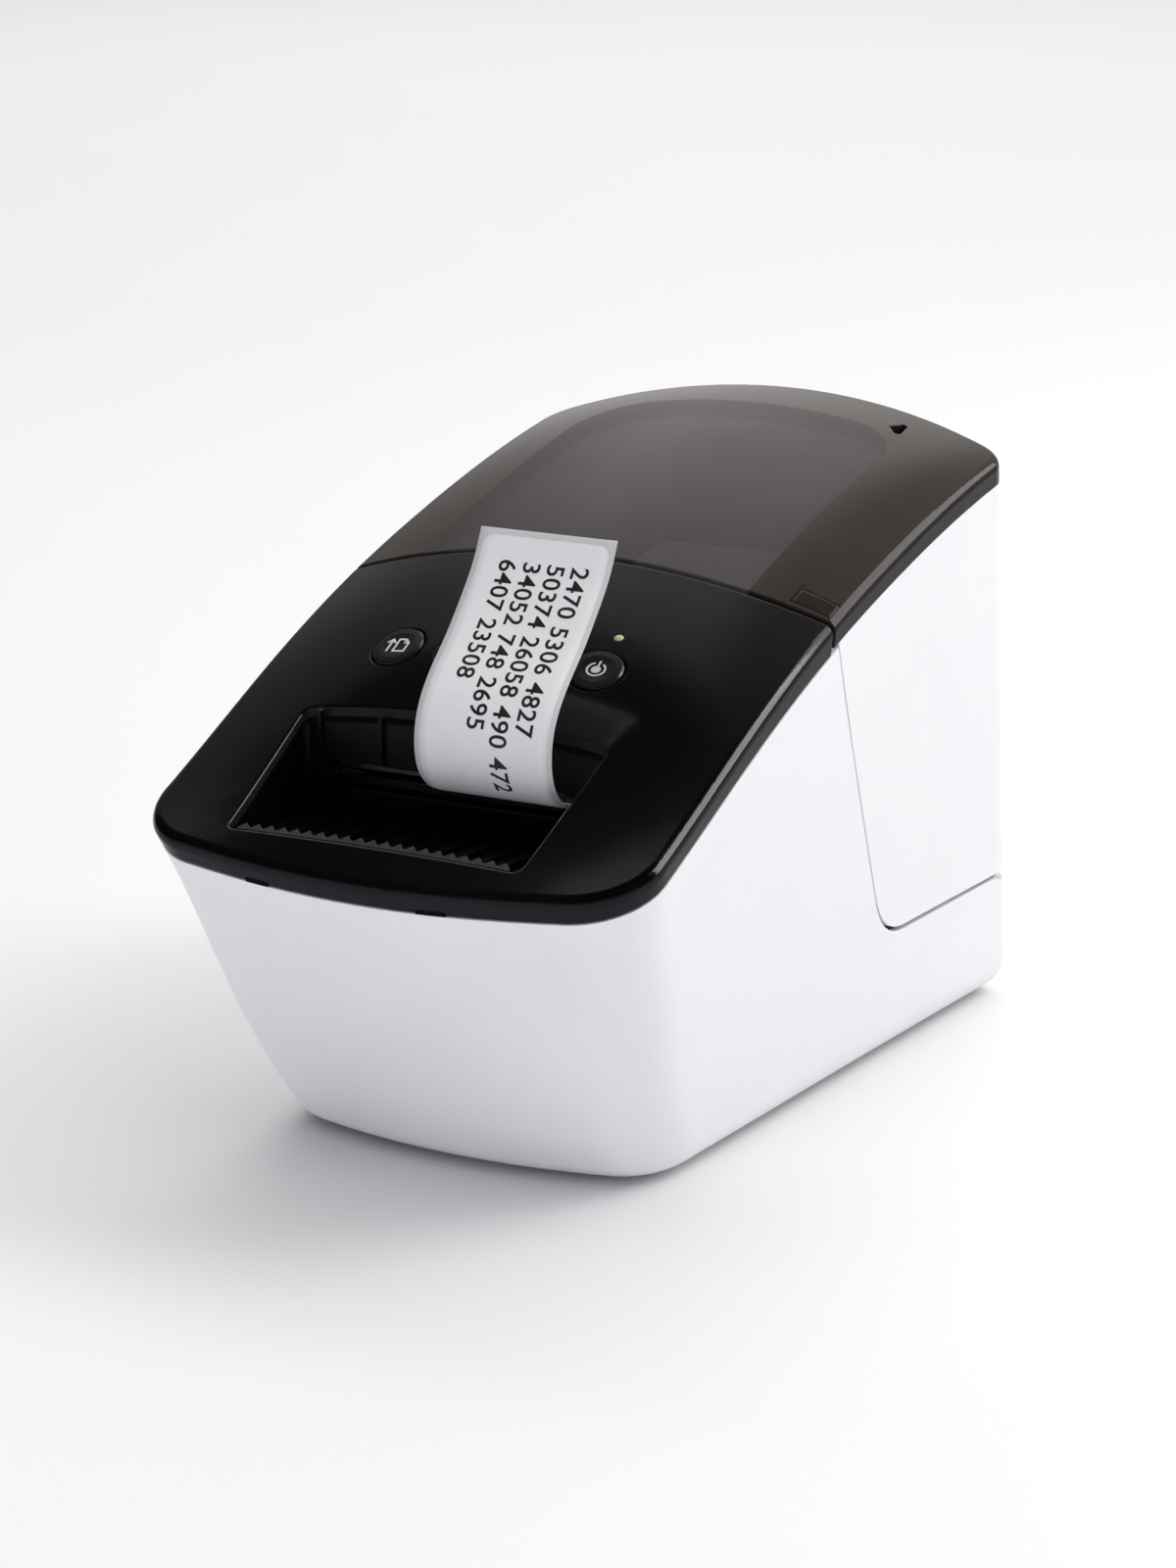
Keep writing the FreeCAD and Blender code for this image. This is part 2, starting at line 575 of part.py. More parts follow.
for k, (x, y) in enumerate([(x, y) for x in (-34, 34) for y in (-44, -22)]):
    fs.append(turned("frame_screw%d" % k, [(0, 0), (1.25, 0.4), (1.25, 5.2), (2.7, 5.2), (2.7, 6.7), (1.0, 6.7), (1.0, 6.0), (0, 6.0)],
                     (x, y, FR_Z + 1.2 - 5.18), (0, 0, 1), False))
node("frame_screws", group(fs, "frame_screws"))

# ------------------------------------------------------------------ platen and feed train
turned("platen_shaft", [(0, 0), (2.2, 0), (2.5, 0.3), (2.5, 95.9), (2.2, 96.2), (0, 96.2)], (-49.2, PLATEN_Y, PLATEN_Z), (1, 0, 0))
turned("platen_rubber", [(2.52, 0), (5.6, 0), (PLATEN_R, 0.5), (PLATEN_R, 67.5), (5.6, 68), (2.52, 68)], (-34, PLATEN_Y, PLATEN_Z), (1, 0, 0))
bl = turned("bush_left", [(2.5 + RUN, 0), (5.4, 0), (5.4, 0.9), (4.0, 0.9), (4.0, 2.9), (2.5 + RUN, 2.9)], (-43.15, PLATEN_Y, PLATEN_Z), (1, 0, 0), False)
br = turned("bush_right", [(2.5 + RUN, 0), (5.4, 0), (5.4, 0.9), (4.0, 0.9), (4.0, 2.9), (2.5 + RUN, 2.9)], (43.15, PLATEN_Y, PLATEN_Z), (-1, 0, 0), False)
node("platen_bushes", group([bl, br], "platen_bushes"))
px("platen_gear", gear_outline(26, PLATEN_Y, PLATEN_Z, -60.0), [(PLATEN_Y, PLATEN_Z, 2.52)], -49.2, -45.4)
big = px("idler_big", gear_outline(40, IDL[0], IDL[1], 10.0), [(IDL[0], IDL[1], 1.5 + RUN)], -53.5, -50.2, False)
small = px("idler_small", gear_outline(14, IDL[0], IDL[1], 120.0 + 180.0 / 14), [(IDL[0], IDL[1], 1.5 + RUN)], -50.2, -45.2, False)
node("idler_gear", fuseobj([big, small], "idler_gear"))
turned("idler_stud", [(0, 0), (2.6, 0), (2.6, 0.7), (1.5, 0.7), (1.5, 13.2), (0, 13.2)], (-54.5, IDL[0], IDL[1]), (1, 0, 0))
turned("motor_shaft", [(0, 0), (0.8, 0), (1.0, 0.2), (1.0, 26), (0, 26)], (-53.9, MOT[0], MOT[1]), (1, 0, 0))
px("motor_pinion", gear_outline(10, MOT[0], MOT[1], 190.0 + 18.0, add=0.85), [(MOT[0], MOT[1], 1.01)], -53.6, -50.1)
turned("feed_motor", [(1.0 + RUN, 0), (3.4, 0), (3.4, 1.3), (10.0, 1.3), (10.0, 18.6), (9.2, 19.4), (0, 19.4), (0, 17.0), (1.0 + RUN, 17.0)],
       (-42.3, MOT[0], MOT[1]), (1, 0, 0))

# ------------------------------------------------------------------ print head
px("print_head", rect(-53.5, -43.0, 86.3, 87.85), [], -35.5, 35.5)
px("head_bracket", [(-54.5, 87.9), (-41.5, 87.9), (-26.5, 97.0), (-21.2, 97.8), (-20.6, 102.2), (-27.5, 103.0), (-43.5, 92.8), (-54.5, 92.8)],
   [(PIV[0], PIV[1], 1.5 + RUN)], -37.0, 37.0)
turned("head_pivot_shaft", [(0, 0), (1.2, 0), (1.5, 0.3), (1.5, 86.7), (1.2, 87), (0, 87)], (-43.5, PIV[0], PIV[1]), (1, 0, 0))
# two arched leaf springs between the bracket and the bridge
leaf = []
for k in range(13):
    q = math.radians(-64 + 128 * k / 12.0)
    leaf.append((-49.0 + 5.1 * math.sin(q), 91.05 + 6.0 * (math.cos(q) * 1.02)))
under = [(y + (y + 49.0) * -0.055, z - 0.42) for y, z in reversed(leaf)]
node("head_springs", group([px("head_spring%d" % k, leaf + under, [], x - 4.0, x + 4.0, False) for k, x in enumerate((-25.0, 25.0))], "head_springs"))

# ------------------------------------------------------------------ cutter
bl = doc.addObject("PartDesign::Body", "moving_blade")
sk = add_sketch(bl, "XZ_Plane", "moving_blade_profile", [(-40, 87.2), (43.6, 89.0), (43.6, 64.5), (50, 64.5), (50, 95.4), (-40, 95.4)])
pad = bl.newObject("PartDesign::Pad", "moving_blade_pad")
pad.Profile = sk
bind(pad, "Length", "moving_blade_depth", 0.9)
bl.Placement = PL(V(0, -61.7, 0), ROT())
node("moving_blade", bl)
px("fixed_blade", [(-61.4, 79.0), (-60.05, 79.0), (-60.05, 85.0), (-60.5, 85.4), (-61.4, 85.4)], [], -38.3, 42.0)
pitch = math.pi * GEAR_M
rk = [(-61.68, 64.5), (-60.72, 64.5)]
k0 = -1
while CUT[1] + (k0 + 0.5) * pitch < 65.6:
    k0 += 1
k = k0
while CUT[1] + (k + 0.5) * pitch < 75.2:
    c = CUT[1] + (k + 0.5) * pitch
    hw = pitch / 4 - 0.07
    ta, td = 0.5 * math.tan(math.radians(20)), 0.72 * math.tan(math.radians(20))
    rk += [(-60.72, c - hw - td), (-59.5, c - hw + ta), (-59.5, c + hw - ta), (-60.72, c + hw + td)]
    k += 1
rk += [(-60.72, 76.5), (-61.68, 76.5)]
px("blade_rack", rk, [], 45.0, 50.0)
px("cutter_pinion", gear_outline(10, CUT[0], CUT[1], 180.0, add=0.85), [(CUT[0], CUT[1], 1.01)], 45.4, 49.6)
turned("cutter_shaft", [(0, 0), (1.0, 0), (1.0, 19.8), (0.8, 20), (0, 20)], (29.8, CUT[0], CUT[1]), (1, 0, 0))
turned("cutter_motor", [(0, 0), (5.4, 0), (6.0, 0.6), (6.0, 22.9), (2.35, 22.9), (2.35, 24.4), (1.0 + RUN, 24.4), (1.0 + RUN, 11.0), (0, 11.0)],
       (18.0, CUT[0], CUT[1]), (1, 0, 0))
gl = cutobj(box((4.4, 3.4, 17.4), (-43.0, -63.4, 78), tag="guide_left"), box((3, 1.5, 30), (-40.35, -62.9, 70), tag="guide_left_slot"))
gr0 = fuseobj([box((4.4, 5.3, 17.4), (49.0, -63.4, 78), tag="guide_right"), box((12.0, 1.4, 6), (42.2, -59.5, 84), tag="guide_right_ear")])
gr = cutobj(gr0, box((1.7, 1.5, 30), (48.65, -62.9, 70), tag="guide_right_slot"))
node("blade_guides", group([gl, gr], "blade_guides"))

# ------------------------------------------------------------------ roll compartment, roll and spool
ring = cutobj(rod(47.0, 102.0, (-51, ROLL_Y, ROLL_Z)), rod(44.0, 96.0, (-48, ROLL_Y, ROLL_Z)))
lowcut = cutobj(ring, box((140, 140, 60), (-70, -30, 72), tag="tub_headroom"))
rim = cutobj(box((106, 106, 3), (-53, -10, 69), tag="tub_rim"), rod(44.0, 96.0, (-48, ROLL_Y, ROLL_Z)))
tub_posts = [rod(3.2, 64.5, (s_ * x, y, 5.45), (0, 0, 1)) for s_ in (-1, 1) for x, y in ((45.5, -6.0), (48.5, 92.0))]
rails = []
for x in (-34.2, 31.4):
    for y in (ROLL_Y - 9.4, ROLL_Y + 7.4):
        rails.append(box((2.9, 2.0, 9.0), (x, y, 40.2), tag="spool_rail%d" % len(rails)))
node("roll_tub", fuseobj([lowcut, rim] + tub_posts + rails, "roll_tub"))


def spool_arm(label, x0, x1, h0, h1):
    plate = rod(15.0, x1 - x0, (x0, ROLL_Y, ROLL_Z))
    leg = box((x1 - x0, 14.4, 43.0), (x0, ROLL_Y - 7.2, 41.0), tag=label + "_leg")
    hub = rod(12.4, h1 - h0, (h0, ROLL_Y, ROLL_Z))
    bore = rod(9.6, 80, (-40, ROLL_Y, ROLL_Z))
    node(label, cutobj(fuseobj([plate, leg, hub]), bore, label))


spool_arm("spool_arm_left", -34.0, -31.6, -33.0, 4.0)
spool_arm("spool_arm_right", 31.6, 34.0, 20.0, 33.0)
turned("spool_core", [(12.48, 0), (14.9, 0), (14.9, 38), (12.48, 38)], (-7, ROLL_Y, ROLL_Z), (1, 0, 0))
turned("label_roll", [(14.92, 0), (ROLL_R - 0.2, 0), (ROLL_R, 0.2), (ROLL_R, 37.8), (ROLL_R - 0.2, 38), (14.92, 38)], (-7, ROLL_Y, ROLL_Z), (1, 0, 0))

# ------------------------------------------------------------------ label path
WEB_Z = 85.8
rr = ROLL_R + 0.4
pt = (-42.0, WEB_Z)
dy, dz = ROLL_Y - pt[0], ROLL_Z - pt[1]
dist = math.hypot(dy, dz)
ang = math.atan2(dz, dy) + math.asin(rr / dist)
ln = math.sqrt(dist ** 2 - rr ** 2)
tp = (pt[0] + ln * math.cos(ang), pt[1] + ln * math.sin(ang))
WEB_SLOPE = math.tan(ang)
nx, nz = -math.sin(ang), math.cos(ang)
wt = 0.2
px("label_web", [(-61.25, WEB_Z), (pt[0], WEB_Z), tp, (tp[0] + wt * nx, tp[1] + wt * nz), (pt[0] - wt * math.tan(ang / 2), WEB_Z + wt), (-61.25, WEB_Z + wt)],
   [], LABEL_X0 - 1.0, LABEL_X1 + 1.0)
g0, g1 = (-40.6, WEB_Z + 1.4 * WEB_SLOPE - 1.2), (-17.0, WEB_Z + 25.0 * WEB_SLOPE - 1.2)
px("paper_guide", [g0, g1, (g1[0], g1[1] - 1.3), (g0[0], g0[1] - 1.3)], [], -40.95, 40.95)
gz = lambda y: g0[1] + (y - g0[0]) * WEB_SLOPE - 1.32
px("label_sensor", [(-36.5, gz(-36.5)), (-29.5, gz(-29.5)), (-29.5, gz(-29.5) - 3.0), (-36.5, gz(-36.5) - 3.0)], [], 6.0, 18.0)
LABEL_PATH = [(-63.4, 86.2), (-66.6, 86.7), (-70.9, 88.8), (-74.8, 93.0), (-76.4, 99.6), (-74.7, 107.2), (-69.4, 114.5), (-62.1, 121.4),
              (-55.3, 128.8), (-49.8, 135.9), (-46.3, 142.8)]
mid = Part.BSplineCurve()
mid.interpolate([V(0, y, z) for y, z in LABEL_PATH])
up, dn = [], []
N = 24
for k in range(N + 1):
    u = mid.FirstParameter + (mid.LastParameter - mid.FirstParameter) * k / N
    p, t = mid.value(u), mid.tangent(u)[0]
    n = V(0, -t.z, t.y)
    up.append(p + n * 0.11)
    dn.append(p - n * 0.11)
cu, cd = Part.BSplineCurve(), Part.BSplineCurve()
for q in up + dn:
    q.x = LABEL_X0
cu.interpolate(up)
cd.interpolate(dn)
w = Part.Wire([cu.toShape(), Part.LineSegment(up[-1], dn[-1]).toShape(), cd.toShape(), Part.LineSegment(dn[0], up[0]).toShape()])
lab = Part.Face(w).extrude(V(LABEL_X1 - LABEL_X0, 0, 0))
freeform("printed_label", lab)

# ------------------------------------------------------------------ outlet chute and tear bar
outer = prism_x([(OUT_Y0 - 2.8, 76.0), (-63.9, 74.6), (-63.9, 112), (OUT_Y0 - 2.8, 112)], OUT_XC - 41.4, OUT_XC + 41.4)
cav = prism_z([(OUT_XC - OUT_W0, OUT_Y0), (OUT_XC + OUT_W0, OUT_Y0), (OUT_XC + OUT_W1, OUT_Y1 - 1.6), (OUT_XC - OUT_W1, OUT_Y1 - 1.6)], 60, 130)
cav = cav.makeFillet(2.0, [e for e in cav.Edges if e.BoundBox.ZLength > 50])
cav = cav.common(prism_x([(-110, 78.4), (-60, 76.8), (-60, 140), (-110, 140)], -60, 60))
chute = outer.cut(cav).common(hull(WALL + 0.05))
chute = chute.cut(bx(-34.5, 34.5, -70, -60, 83.2, 89.6))
for x in lin(OUT_XC - 33, OUT_XC + 33, 12):
    chute = chute.fuse(bx(x - 0.35, x + 0.35, -96.6, -70.0, 76.5, 80.5).common(prism_x(
        [(-96.6, 76.5), (-70, 76.5), (-70, 78.1), (-93, 79.3), (-96.6, 79.0)], -50, 50)))
for x in (-20.0, -36.2):
    chute = chute.fuse(bx(x - 0.5, x + 0.5, -66.9, -65.2, 90.2, 101.0))
freeform("outlet_chute", chute)
print("chute", chute.isValid(), len(chute.Solids))
teeth = []
n_t = 21
x0, x1 = OUT_XC - 34.6, OUT_XC + 34.6
tp_ = (x1 - x0) / n_t
pts = [(x0, OUT_Y0 + 0.02)]
for k in range(n_t):
    a = x0 + k * tp_
    pts += [(a + 0.25, OUT_Y0 + 0.7), (a + tp_ * 0.5, OUT_Y0 + 1.9), (a + tp_ - 0.25, OUT_Y0 + 0.7)]
pts += [(x1, OUT_Y0 + 0.02)]
bar = prism_z(pts, 60, 130)
ztip = z_top(0, OUT_Y0)
bar = bar.common(under_top(0.25)).cut(under_top(1.5))
freeform("tear_bar", bar)
print("tear_bar", bar.isValid(), len(bar.Solids))

# ------------------------------------------------------------------ buttons, board, lamps
n0 = top_normal(BTN_X0, BTN_Y)
p0 = V(BTN_X0, BTN_Y, z_top(BTN_X0, BTN_Y)) - n0 * 9.6
e_x = (V(1, 0, 0) - n0 * n0.x).normalize()
e_y = n0.cross(e_x)
switches = []
for nm, p, n in BTN:
    t = ((p - p0).dot(n0) - 5.7) / n.dot(n0)
    q = p - n * t
    s = q - n0 * 5.7
    turned(nm, [(0, 0.45), (4.4, 0.62), (5.9, 0.55), (BTN_R, 0.15), (BTN_R, -2.95), (7.5, -2.95), (7.5, -3.7), (2.0, -3.7), (2.0, -t), (0, -t)],
           p, n)
    R = ROT(e_x, e_y, n0, "ZXY")
    b = box((6, 6, 2.8), (0, 0, 0), tag=nm + "_switch")
    b.Placement = PL(s - e_x * 3 - e_y * 3, R)
    c = rod(1.2, 1.5, s + n0 * 2.8, n0, nm + "_plunger")
    switches.append(fuseobj([b, c]))
    print("press axis", nm, [round(v, 5) for v in (-n.x, -n.y, -n.z)])
node("tact_switches", group(switches, "tact_switches"))
brd = box((90, 21, 1.6), (0, 0, 0), tag="button_board")
brd.Placement = PL(p0 - e_x * 45 - e_y * 8.5 - n0 * 1.6, ROT(e_x, e_y, n0, "ZXY"))
brd_holes = fuseobj([rod(1.1, 8, p0 + e_x * a + e_y * b_ - n0 * 4, n0) for a, b_ in ((-36.5, -6), (36.5, -6), (-36.5, 10), (36.5, 10))])
node("button_board", cutobj(brd, brd_holes, "button_board"))
pipes = []
for nm, p, n in LEDS:
    t = (p - p0).dot(n0) / n.dot(n0) - 0.9
    pipes.append(turned(nm, [(0, 0.3), (0.7, 0.2), (LED_R, -0.1), (LED_R, -t), (0, -t)], p, n, False))
node("lamp_pipes", group(pipes, "lamp_pipes"))

# ------------------------------------------------------------------ boards and sockets
pz("main_board", [(BOARD[0], BOARD[2]), (BOARD[1], BOARD[2]), (BOARD[1], BOARD[3]), (BOARD[0], BOARD[3])],
   [(x, y, 1.6) for x, y in STAND[:4]], 10.52, 12.12)
chips = [box((14, 14, 1.6), (14, 20, 12.14), tag="chip_main"), box((9, 12, 1.2), (31, 22, 12.14), tag="chip_memory"),
         box((20, 6, 6), (12, -4.5, 12.14), tag="head_socket"), box((12, 5, 5), (29, 44, 12.14), tag="motor_socket"),
         rod(4, 11, (12, 50, 12.14), (0, 0, 1)), rod(4, 11, (22, 50, 12.14), (0, 0, 1)), rod(3, 8, (35, 62, 12.14), (0, 0, 1))]
node("board_parts", group(chips, "board_parts"))
pz("supply_board", [(PSU[0], PSU[2]), (PSU[1], PSU[2]), (PSU[1], PSU[3]), (PSU[0], PSU[3])], [(x, y, 1.6) for x, y in STAND[4:]], 10.52, 12.12)
psu = [box((22, 20, 18), (-38, 30, 12.14), tag="transformer"), rod(7, 20, (-18, 62, 12.14), (0, 0, 1)), rod(4, 14, (-14, 32, 12.14), (0, 0, 1)),
       box((3, 24, 18), (-45, 24, 12.14), tag="supply_sink"), box((14, 12, 10), (-40, 60, 12.14), tag="line_filter")]
node("supply_parts", group(psu, "supply_parts"))
bs = []
for k, (x, y) in enumerate(STAND):
    bs.append(turned("board_screw%d" % k, [(0, 0), (1.2, 0.4), (1.2, 5.6), (2.5, 5.6), (2.5, 7.0), (0.9, 7.0), (0.9, 6.4), (0, 6.4)], (x, y, 6.54), (0, 0, 1), False))
node("board_screws", group(bs, "board_screws"))
ib = box((20.6, 16.4, 11.6), (INLET_X - 10.3, 91.4, INLET_Z - 5.8), tag="inlet_body")
slot = fuseobj([box((8.6, 12, 7.6), (INLET_X - 4.3, 96.5, INLET_Z - 3.8), tag="inlet_slot"), rod(3.8, 12, (INLET_X - 4.3, 96.5, INLET_Z), (0, 1, 0)),
                rod(3.8, 12, (INLET_X + 4.3, 96.5, INLET_Z), (0, 1, 0))])
pins = [rod(1.2, 10.5, (INLET_X + s * 4.3, 96.0, INLET_Z), (0, 1, 0)) for s in (-1, 1)]
node("mains_inlet", fuseobj([cutobj(ib, slot)] + pins, "mains_inlet"))
ub = cutobj(box((12.2, 16.2, 11.2), (PORT_X - 6.1, 91.9, PORT_Z - 5.6), tag="port_body"), box((8.5, 9, 7.8), (PORT_X - 4.25, 99.5, PORT_Z - 3.9), tag="port_mouth"))
ut = box((5.6, 8.0, 3.2), (PORT_X - 2.8, 99.4, PORT_Z - 1.6), tag="port_tongue")
node("data_port", fuseobj([ub, ut], "data_port"))
px("flat_ribbon", [(-29.6, 109.0), (-13.0, 109.0), (-13.0, 12.3), (-7.2, 12.3), (-7.2, 12.7), (-12.6, 12.7), (-12.6, 109.4), (-29.6, 109.4)],
   [], 36.4, 41.4)
lsw = fuseobj([box((6, 10, 6), (43, -9, 72.05), tag="lid_switch"), box((1.6, 5, 1.6), (45.2, -6, 78.0), tag="lid_switch_lever")])
node("lid_switch", lsw)

# ------------------------------------------------------------------ hinge pins
pins = [rod(PIN_R, 17.6, (x, HINGE_Y, HINGE_Z)) for x in (-37.8, 20.2)]
node("hinge_pins", group(pins, "hinge_pins"))

# ------------------------------------------------------------------ check and write
doc.recompute()
bad = [o.Name for o in doc.Objects if "Invalid" in o.State or "Error" in o.State]
for label, o in NODES.items():
    if o.Shape.isNull() or not o.Shape.isValid() or not o.Shape.Solids:
        bad.append(label)
if bad:
    raise SystemExit("failed pieces: " + ", ".join(bad))
os.makedirs("parts", exist_ok=True)
for f in os.listdir("parts"):
    if f.endswith(".step") and f[:-5] not in NODES:
        os.remove(os.path.join("parts", f))
for label, o in NODES.items():
    o.Shape.exportStep("parts/%s.step" % label)
print(len(NODES), "pieces written")
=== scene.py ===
import json
import math

import bmesh
import bpy
import numpy as np
from mathutils import Matrix, Vector
from mathutils.bvhtree import BVHTree


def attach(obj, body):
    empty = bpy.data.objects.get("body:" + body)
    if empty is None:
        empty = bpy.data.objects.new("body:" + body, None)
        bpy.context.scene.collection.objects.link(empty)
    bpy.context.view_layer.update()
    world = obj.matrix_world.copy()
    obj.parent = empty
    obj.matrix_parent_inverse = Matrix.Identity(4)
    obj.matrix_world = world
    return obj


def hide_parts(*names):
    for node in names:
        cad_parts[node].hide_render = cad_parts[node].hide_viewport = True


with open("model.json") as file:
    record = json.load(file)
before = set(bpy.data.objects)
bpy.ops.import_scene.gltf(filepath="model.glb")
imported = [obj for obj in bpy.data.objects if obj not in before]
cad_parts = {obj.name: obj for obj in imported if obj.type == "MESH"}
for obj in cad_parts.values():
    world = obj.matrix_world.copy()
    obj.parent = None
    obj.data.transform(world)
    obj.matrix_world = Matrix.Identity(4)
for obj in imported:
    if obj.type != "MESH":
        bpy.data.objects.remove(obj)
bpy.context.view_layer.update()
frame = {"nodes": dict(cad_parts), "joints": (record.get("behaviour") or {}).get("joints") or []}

nodes = frame["nodes"]
scene = bpy.context.scene
MM = 0.001


# ------------------------------------------------------------------ materials

class Shader:
    """A principled material with object-space helpers."""

    def __init__(self, name):
        self.m = bpy.data.materials.new(name)
        self.m.use_nodes = True
        self.nt = self.m.node_tree
        self.b = self.nt.nodes["Principled BSDF"]
        self.coord = self.nt.nodes.new("ShaderNodeTexCoord").outputs["Object"]

    def set(self, **k):
        names = {"rough": "Roughness", "metal": "Metallic", "spec": "Specular IOR Level", "ior": "IOR", "coat": "Coat Weight",
                 "coat_rough": "Coat Roughness", "alpha": "Alpha", "emit": "Emission Strength", "emit_col": "Emission Color",
                 "col": "Base Color", "sss": "Subsurface Weight", "sss_r": "Subsurface Radius", "sss_s": "Subsurface Scale",
                 "trans": "Transmission Weight", "aniso": "Anisotropic", "sheen": "Sheen Weight"}
        for a, v in k.items():
            if a in ("col", "emit_col") and len(v) == 3:
                v = (*v, 1.0)
            self.b.inputs[names[a]].default_value = v
        return self

    def node(self, kind, **k):
        n = self.nt.nodes.new(kind)
        for a, v in k.items():
            setattr(n, a, v)
        return n

    def link(self, a, b):
        self.nt.links.new(a, b)

    def stretched(self, scale=(1, 1, 1), loc=(0, 0, 0), rot=(0, 0, 0)):
        n = self.node("ShaderNodeMapping")
        n.inputs["Scale"].default_value = scale
        n.inputs["Location"].default_value = loc
        n.inputs["Rotation"].default_value = rot
        self.link(self.coord, n.inputs["Vector"])
        return n.outputs["Vector"]

    def noise(self, scale, detail=3.0, rough=0.55, vec=None, dist=0.0):
        n = self.node("ShaderNodeTexNoise")
        n.inputs["Scale"].default_value = scale
        n.inputs["Detail"].default_value = detail
        n.inputs["Roughness"].default_value = rough
        n.inputs["Distortion"].default_value = dist
        self.link(vec or self.coord, n.inputs["Vector"])
        return n.outputs["Fac"]

    def voronoi(self, scale, feature="F1", vec=None, out="Distance"):
        n = self.node("ShaderNodeTexVoronoi", feature=feature)
        n.inputs["Scale"].default_value = scale
        self.link(vec or self.coord, n.inputs["Vector"])
        return n.outputs[out]

    def wave(self, scale, kind="BANDS", direction="X", dist=0.0, detail=2.0, vec=None, profile="SIN"):
        n = self.node("ShaderNodeTexWave", wave_type=kind, wave_profile=profile)
        if kind == "BANDS":
            n.bands_direction = direction
        else:
            n.rings_direction = direction
        n.inputs["Scale"].default_value = scale
        n.inputs["Distortion"].default_value = dist
        n.inputs["Detail"].default_value = detail
        self.link(vec or self.coord, n.inputs["Vector"])
        return n.outputs["Fac"]

    def ramp(self, fac, stops, interp="LINEAR"):
        n = self.node("ShaderNodeValToRGB")
        n.color_ramp.interpolation = interp
        els = n.color_ramp.elements
        while len(els) > 1:
            els.remove(els[-1])
        for i, (p, c) in enumerate(stops):
            e = els[0] if i == 0 else els.new(p)
            e.position = p
            e.color = (*c, 1.0) if len(c) == 3 else c
        self.link(fac, n.inputs["Fac"])
        return n.outputs["Color"]

    def span(self, fac, a0, a1, b0, b1):
        n = self.node("ShaderNodeMapRange")
        n.inputs["From Min"].default_value = a0
        n.inputs["From Max"].default_value = a1
        n.inputs["To Min"].default_value = b0
        n.inputs["To Max"].default_value = b1
        self.link(fac, n.inputs["Value"])
        return n.outputs["Result"]

    def mix(self, fac, a, b, mode="MIX"):
        n = self.node("ShaderNodeMix", data_type="RGBA", blend_type=mode)
        for sock, v in ((n.inputs[0], fac), (n.inputs[6], a), (n.inputs[7], b)):
            if isinstance(v, (int, float)):
                sock.default_value = v
            elif isinstance(v, tuple):
                sock.default_value = (*v, 1.0) if len(v) == 3 else v
            else:
                self.link(v, sock)
        return n.outputs[2]

    def colour(self, out):
        self.link(out, self.b.inputs["Base Color"])
        return self

    def roughness(self, out):
        self.link(out, self.b.inputs["Roughness"])
        return self

    def bump(self, height, strength, dist, before=None):
        n = self.node("ShaderNodeBump")
        n.inputs["Strength"].default_value = strength
        n.inputs["Distance"].default_value = dist
        self.link(height, n.inputs["Height"])
        if before is not None:
            self.link(before, n.inputs["Normal"])
        self.link(n.outputs["Normal"], self.b.inputs["Normal"])
        return n.outputs["Normal"]

    def side_mask(self):
        """1 on the upright band, 0 on the top face."""
        g = self.node("ShaderNodeNewGeometry")
        sep = self.node("ShaderNodeSeparateXYZ")
        self.link(g.outputs["Normal"], sep.inputs["Vector"])
        return self.span(sep.outputs["Z"], 0.18, 0.40, 1.0, 0.0)

    def lacquer(self, side, normal):
        """Gloss coat on the top face; the upright band stays satin."""
        self.link(self.span(side, 0.0, 1.0, 1.0, 0.0), self.b.inputs["Coat Weight"])
        self.link(normal, self.b.inputs["Coat Normal"])

    def soft_edge(self, radius, samples=6):
        n = self.node("ShaderNodeBevel", samples=samples)
        n.inputs["Radius"].default_value = radius
        return n.outputs["Normal"]


def plastic(name, dark, light, rough, grain, grain_d, mottle=35.0, edge=0.0, **k):
    """Moulded plastic: slow tone drift, uneven sheen and a fine tooled grain."""
    s = Shader(name)
    s.colour(s.ramp(s.noise(mottle, 4.0), [(0.30, dark), (0.70, light)]))
    s.roughness(s.span(s.noise(mottle * 3.1, 5.0, 0.6), 0.3, 0.7, rough[0], rough[1]))
    before = s.soft_edge(edge) if edge else None
    s.bump(s.noise(grain, 2.0, 0.5), 0.35, grain_d, before)
    s.set(**k)
    return s.m


MAT = {}
MAT["white"] = plastic("white_plastic_satin", (0.800, 0.803, 0.830), (0.835, 0.838, 0.862), (0.30, 0.40), 2600.0, 0.000010, 22.0, 0.0004, spec=0.45)
MAT["white_lid"] = plastic("white_plastic_lid", (0.802, 0.805, 0.830), (0.838, 0.840, 0.862), (0.30, 0.41), 2600.0, 0.000010, 24.0, 0.0004, spec=0.45)


BAND_TONE = [(0.3, (0.0150, 0.0143, 0.0180)), (0.7, (0.0200, 0.0191, 0.0236))]


def gloss_cover():
    s = Shader("black_gloss_cover")
    drift = s.noise(26.0, 5.0)
    side = s.side_mask()
    top = s.ramp(drift, [(0.3, (0.0017, 0.0012, 0.0009)), (0.7, (0.0028, 0.0021, 0.0016))])
    s.colour(s.mix(side, top, s.ramp(drift, BAND_TONE)))
    s.roughness(s.span(s.noise(48.0, 6.0, 0.62), 0.3, 0.72, 0.085, 0.15))
    s.lacquer(side, s.bump(s.noise(900.0, 2.0), 0.12, 0.000008, s.soft_edge(0.00045)))
    s.set(ior=1.5, spec=0.04, coat_rough=0.11)
    return s.m


MAT["gloss"] = gloss_cover()


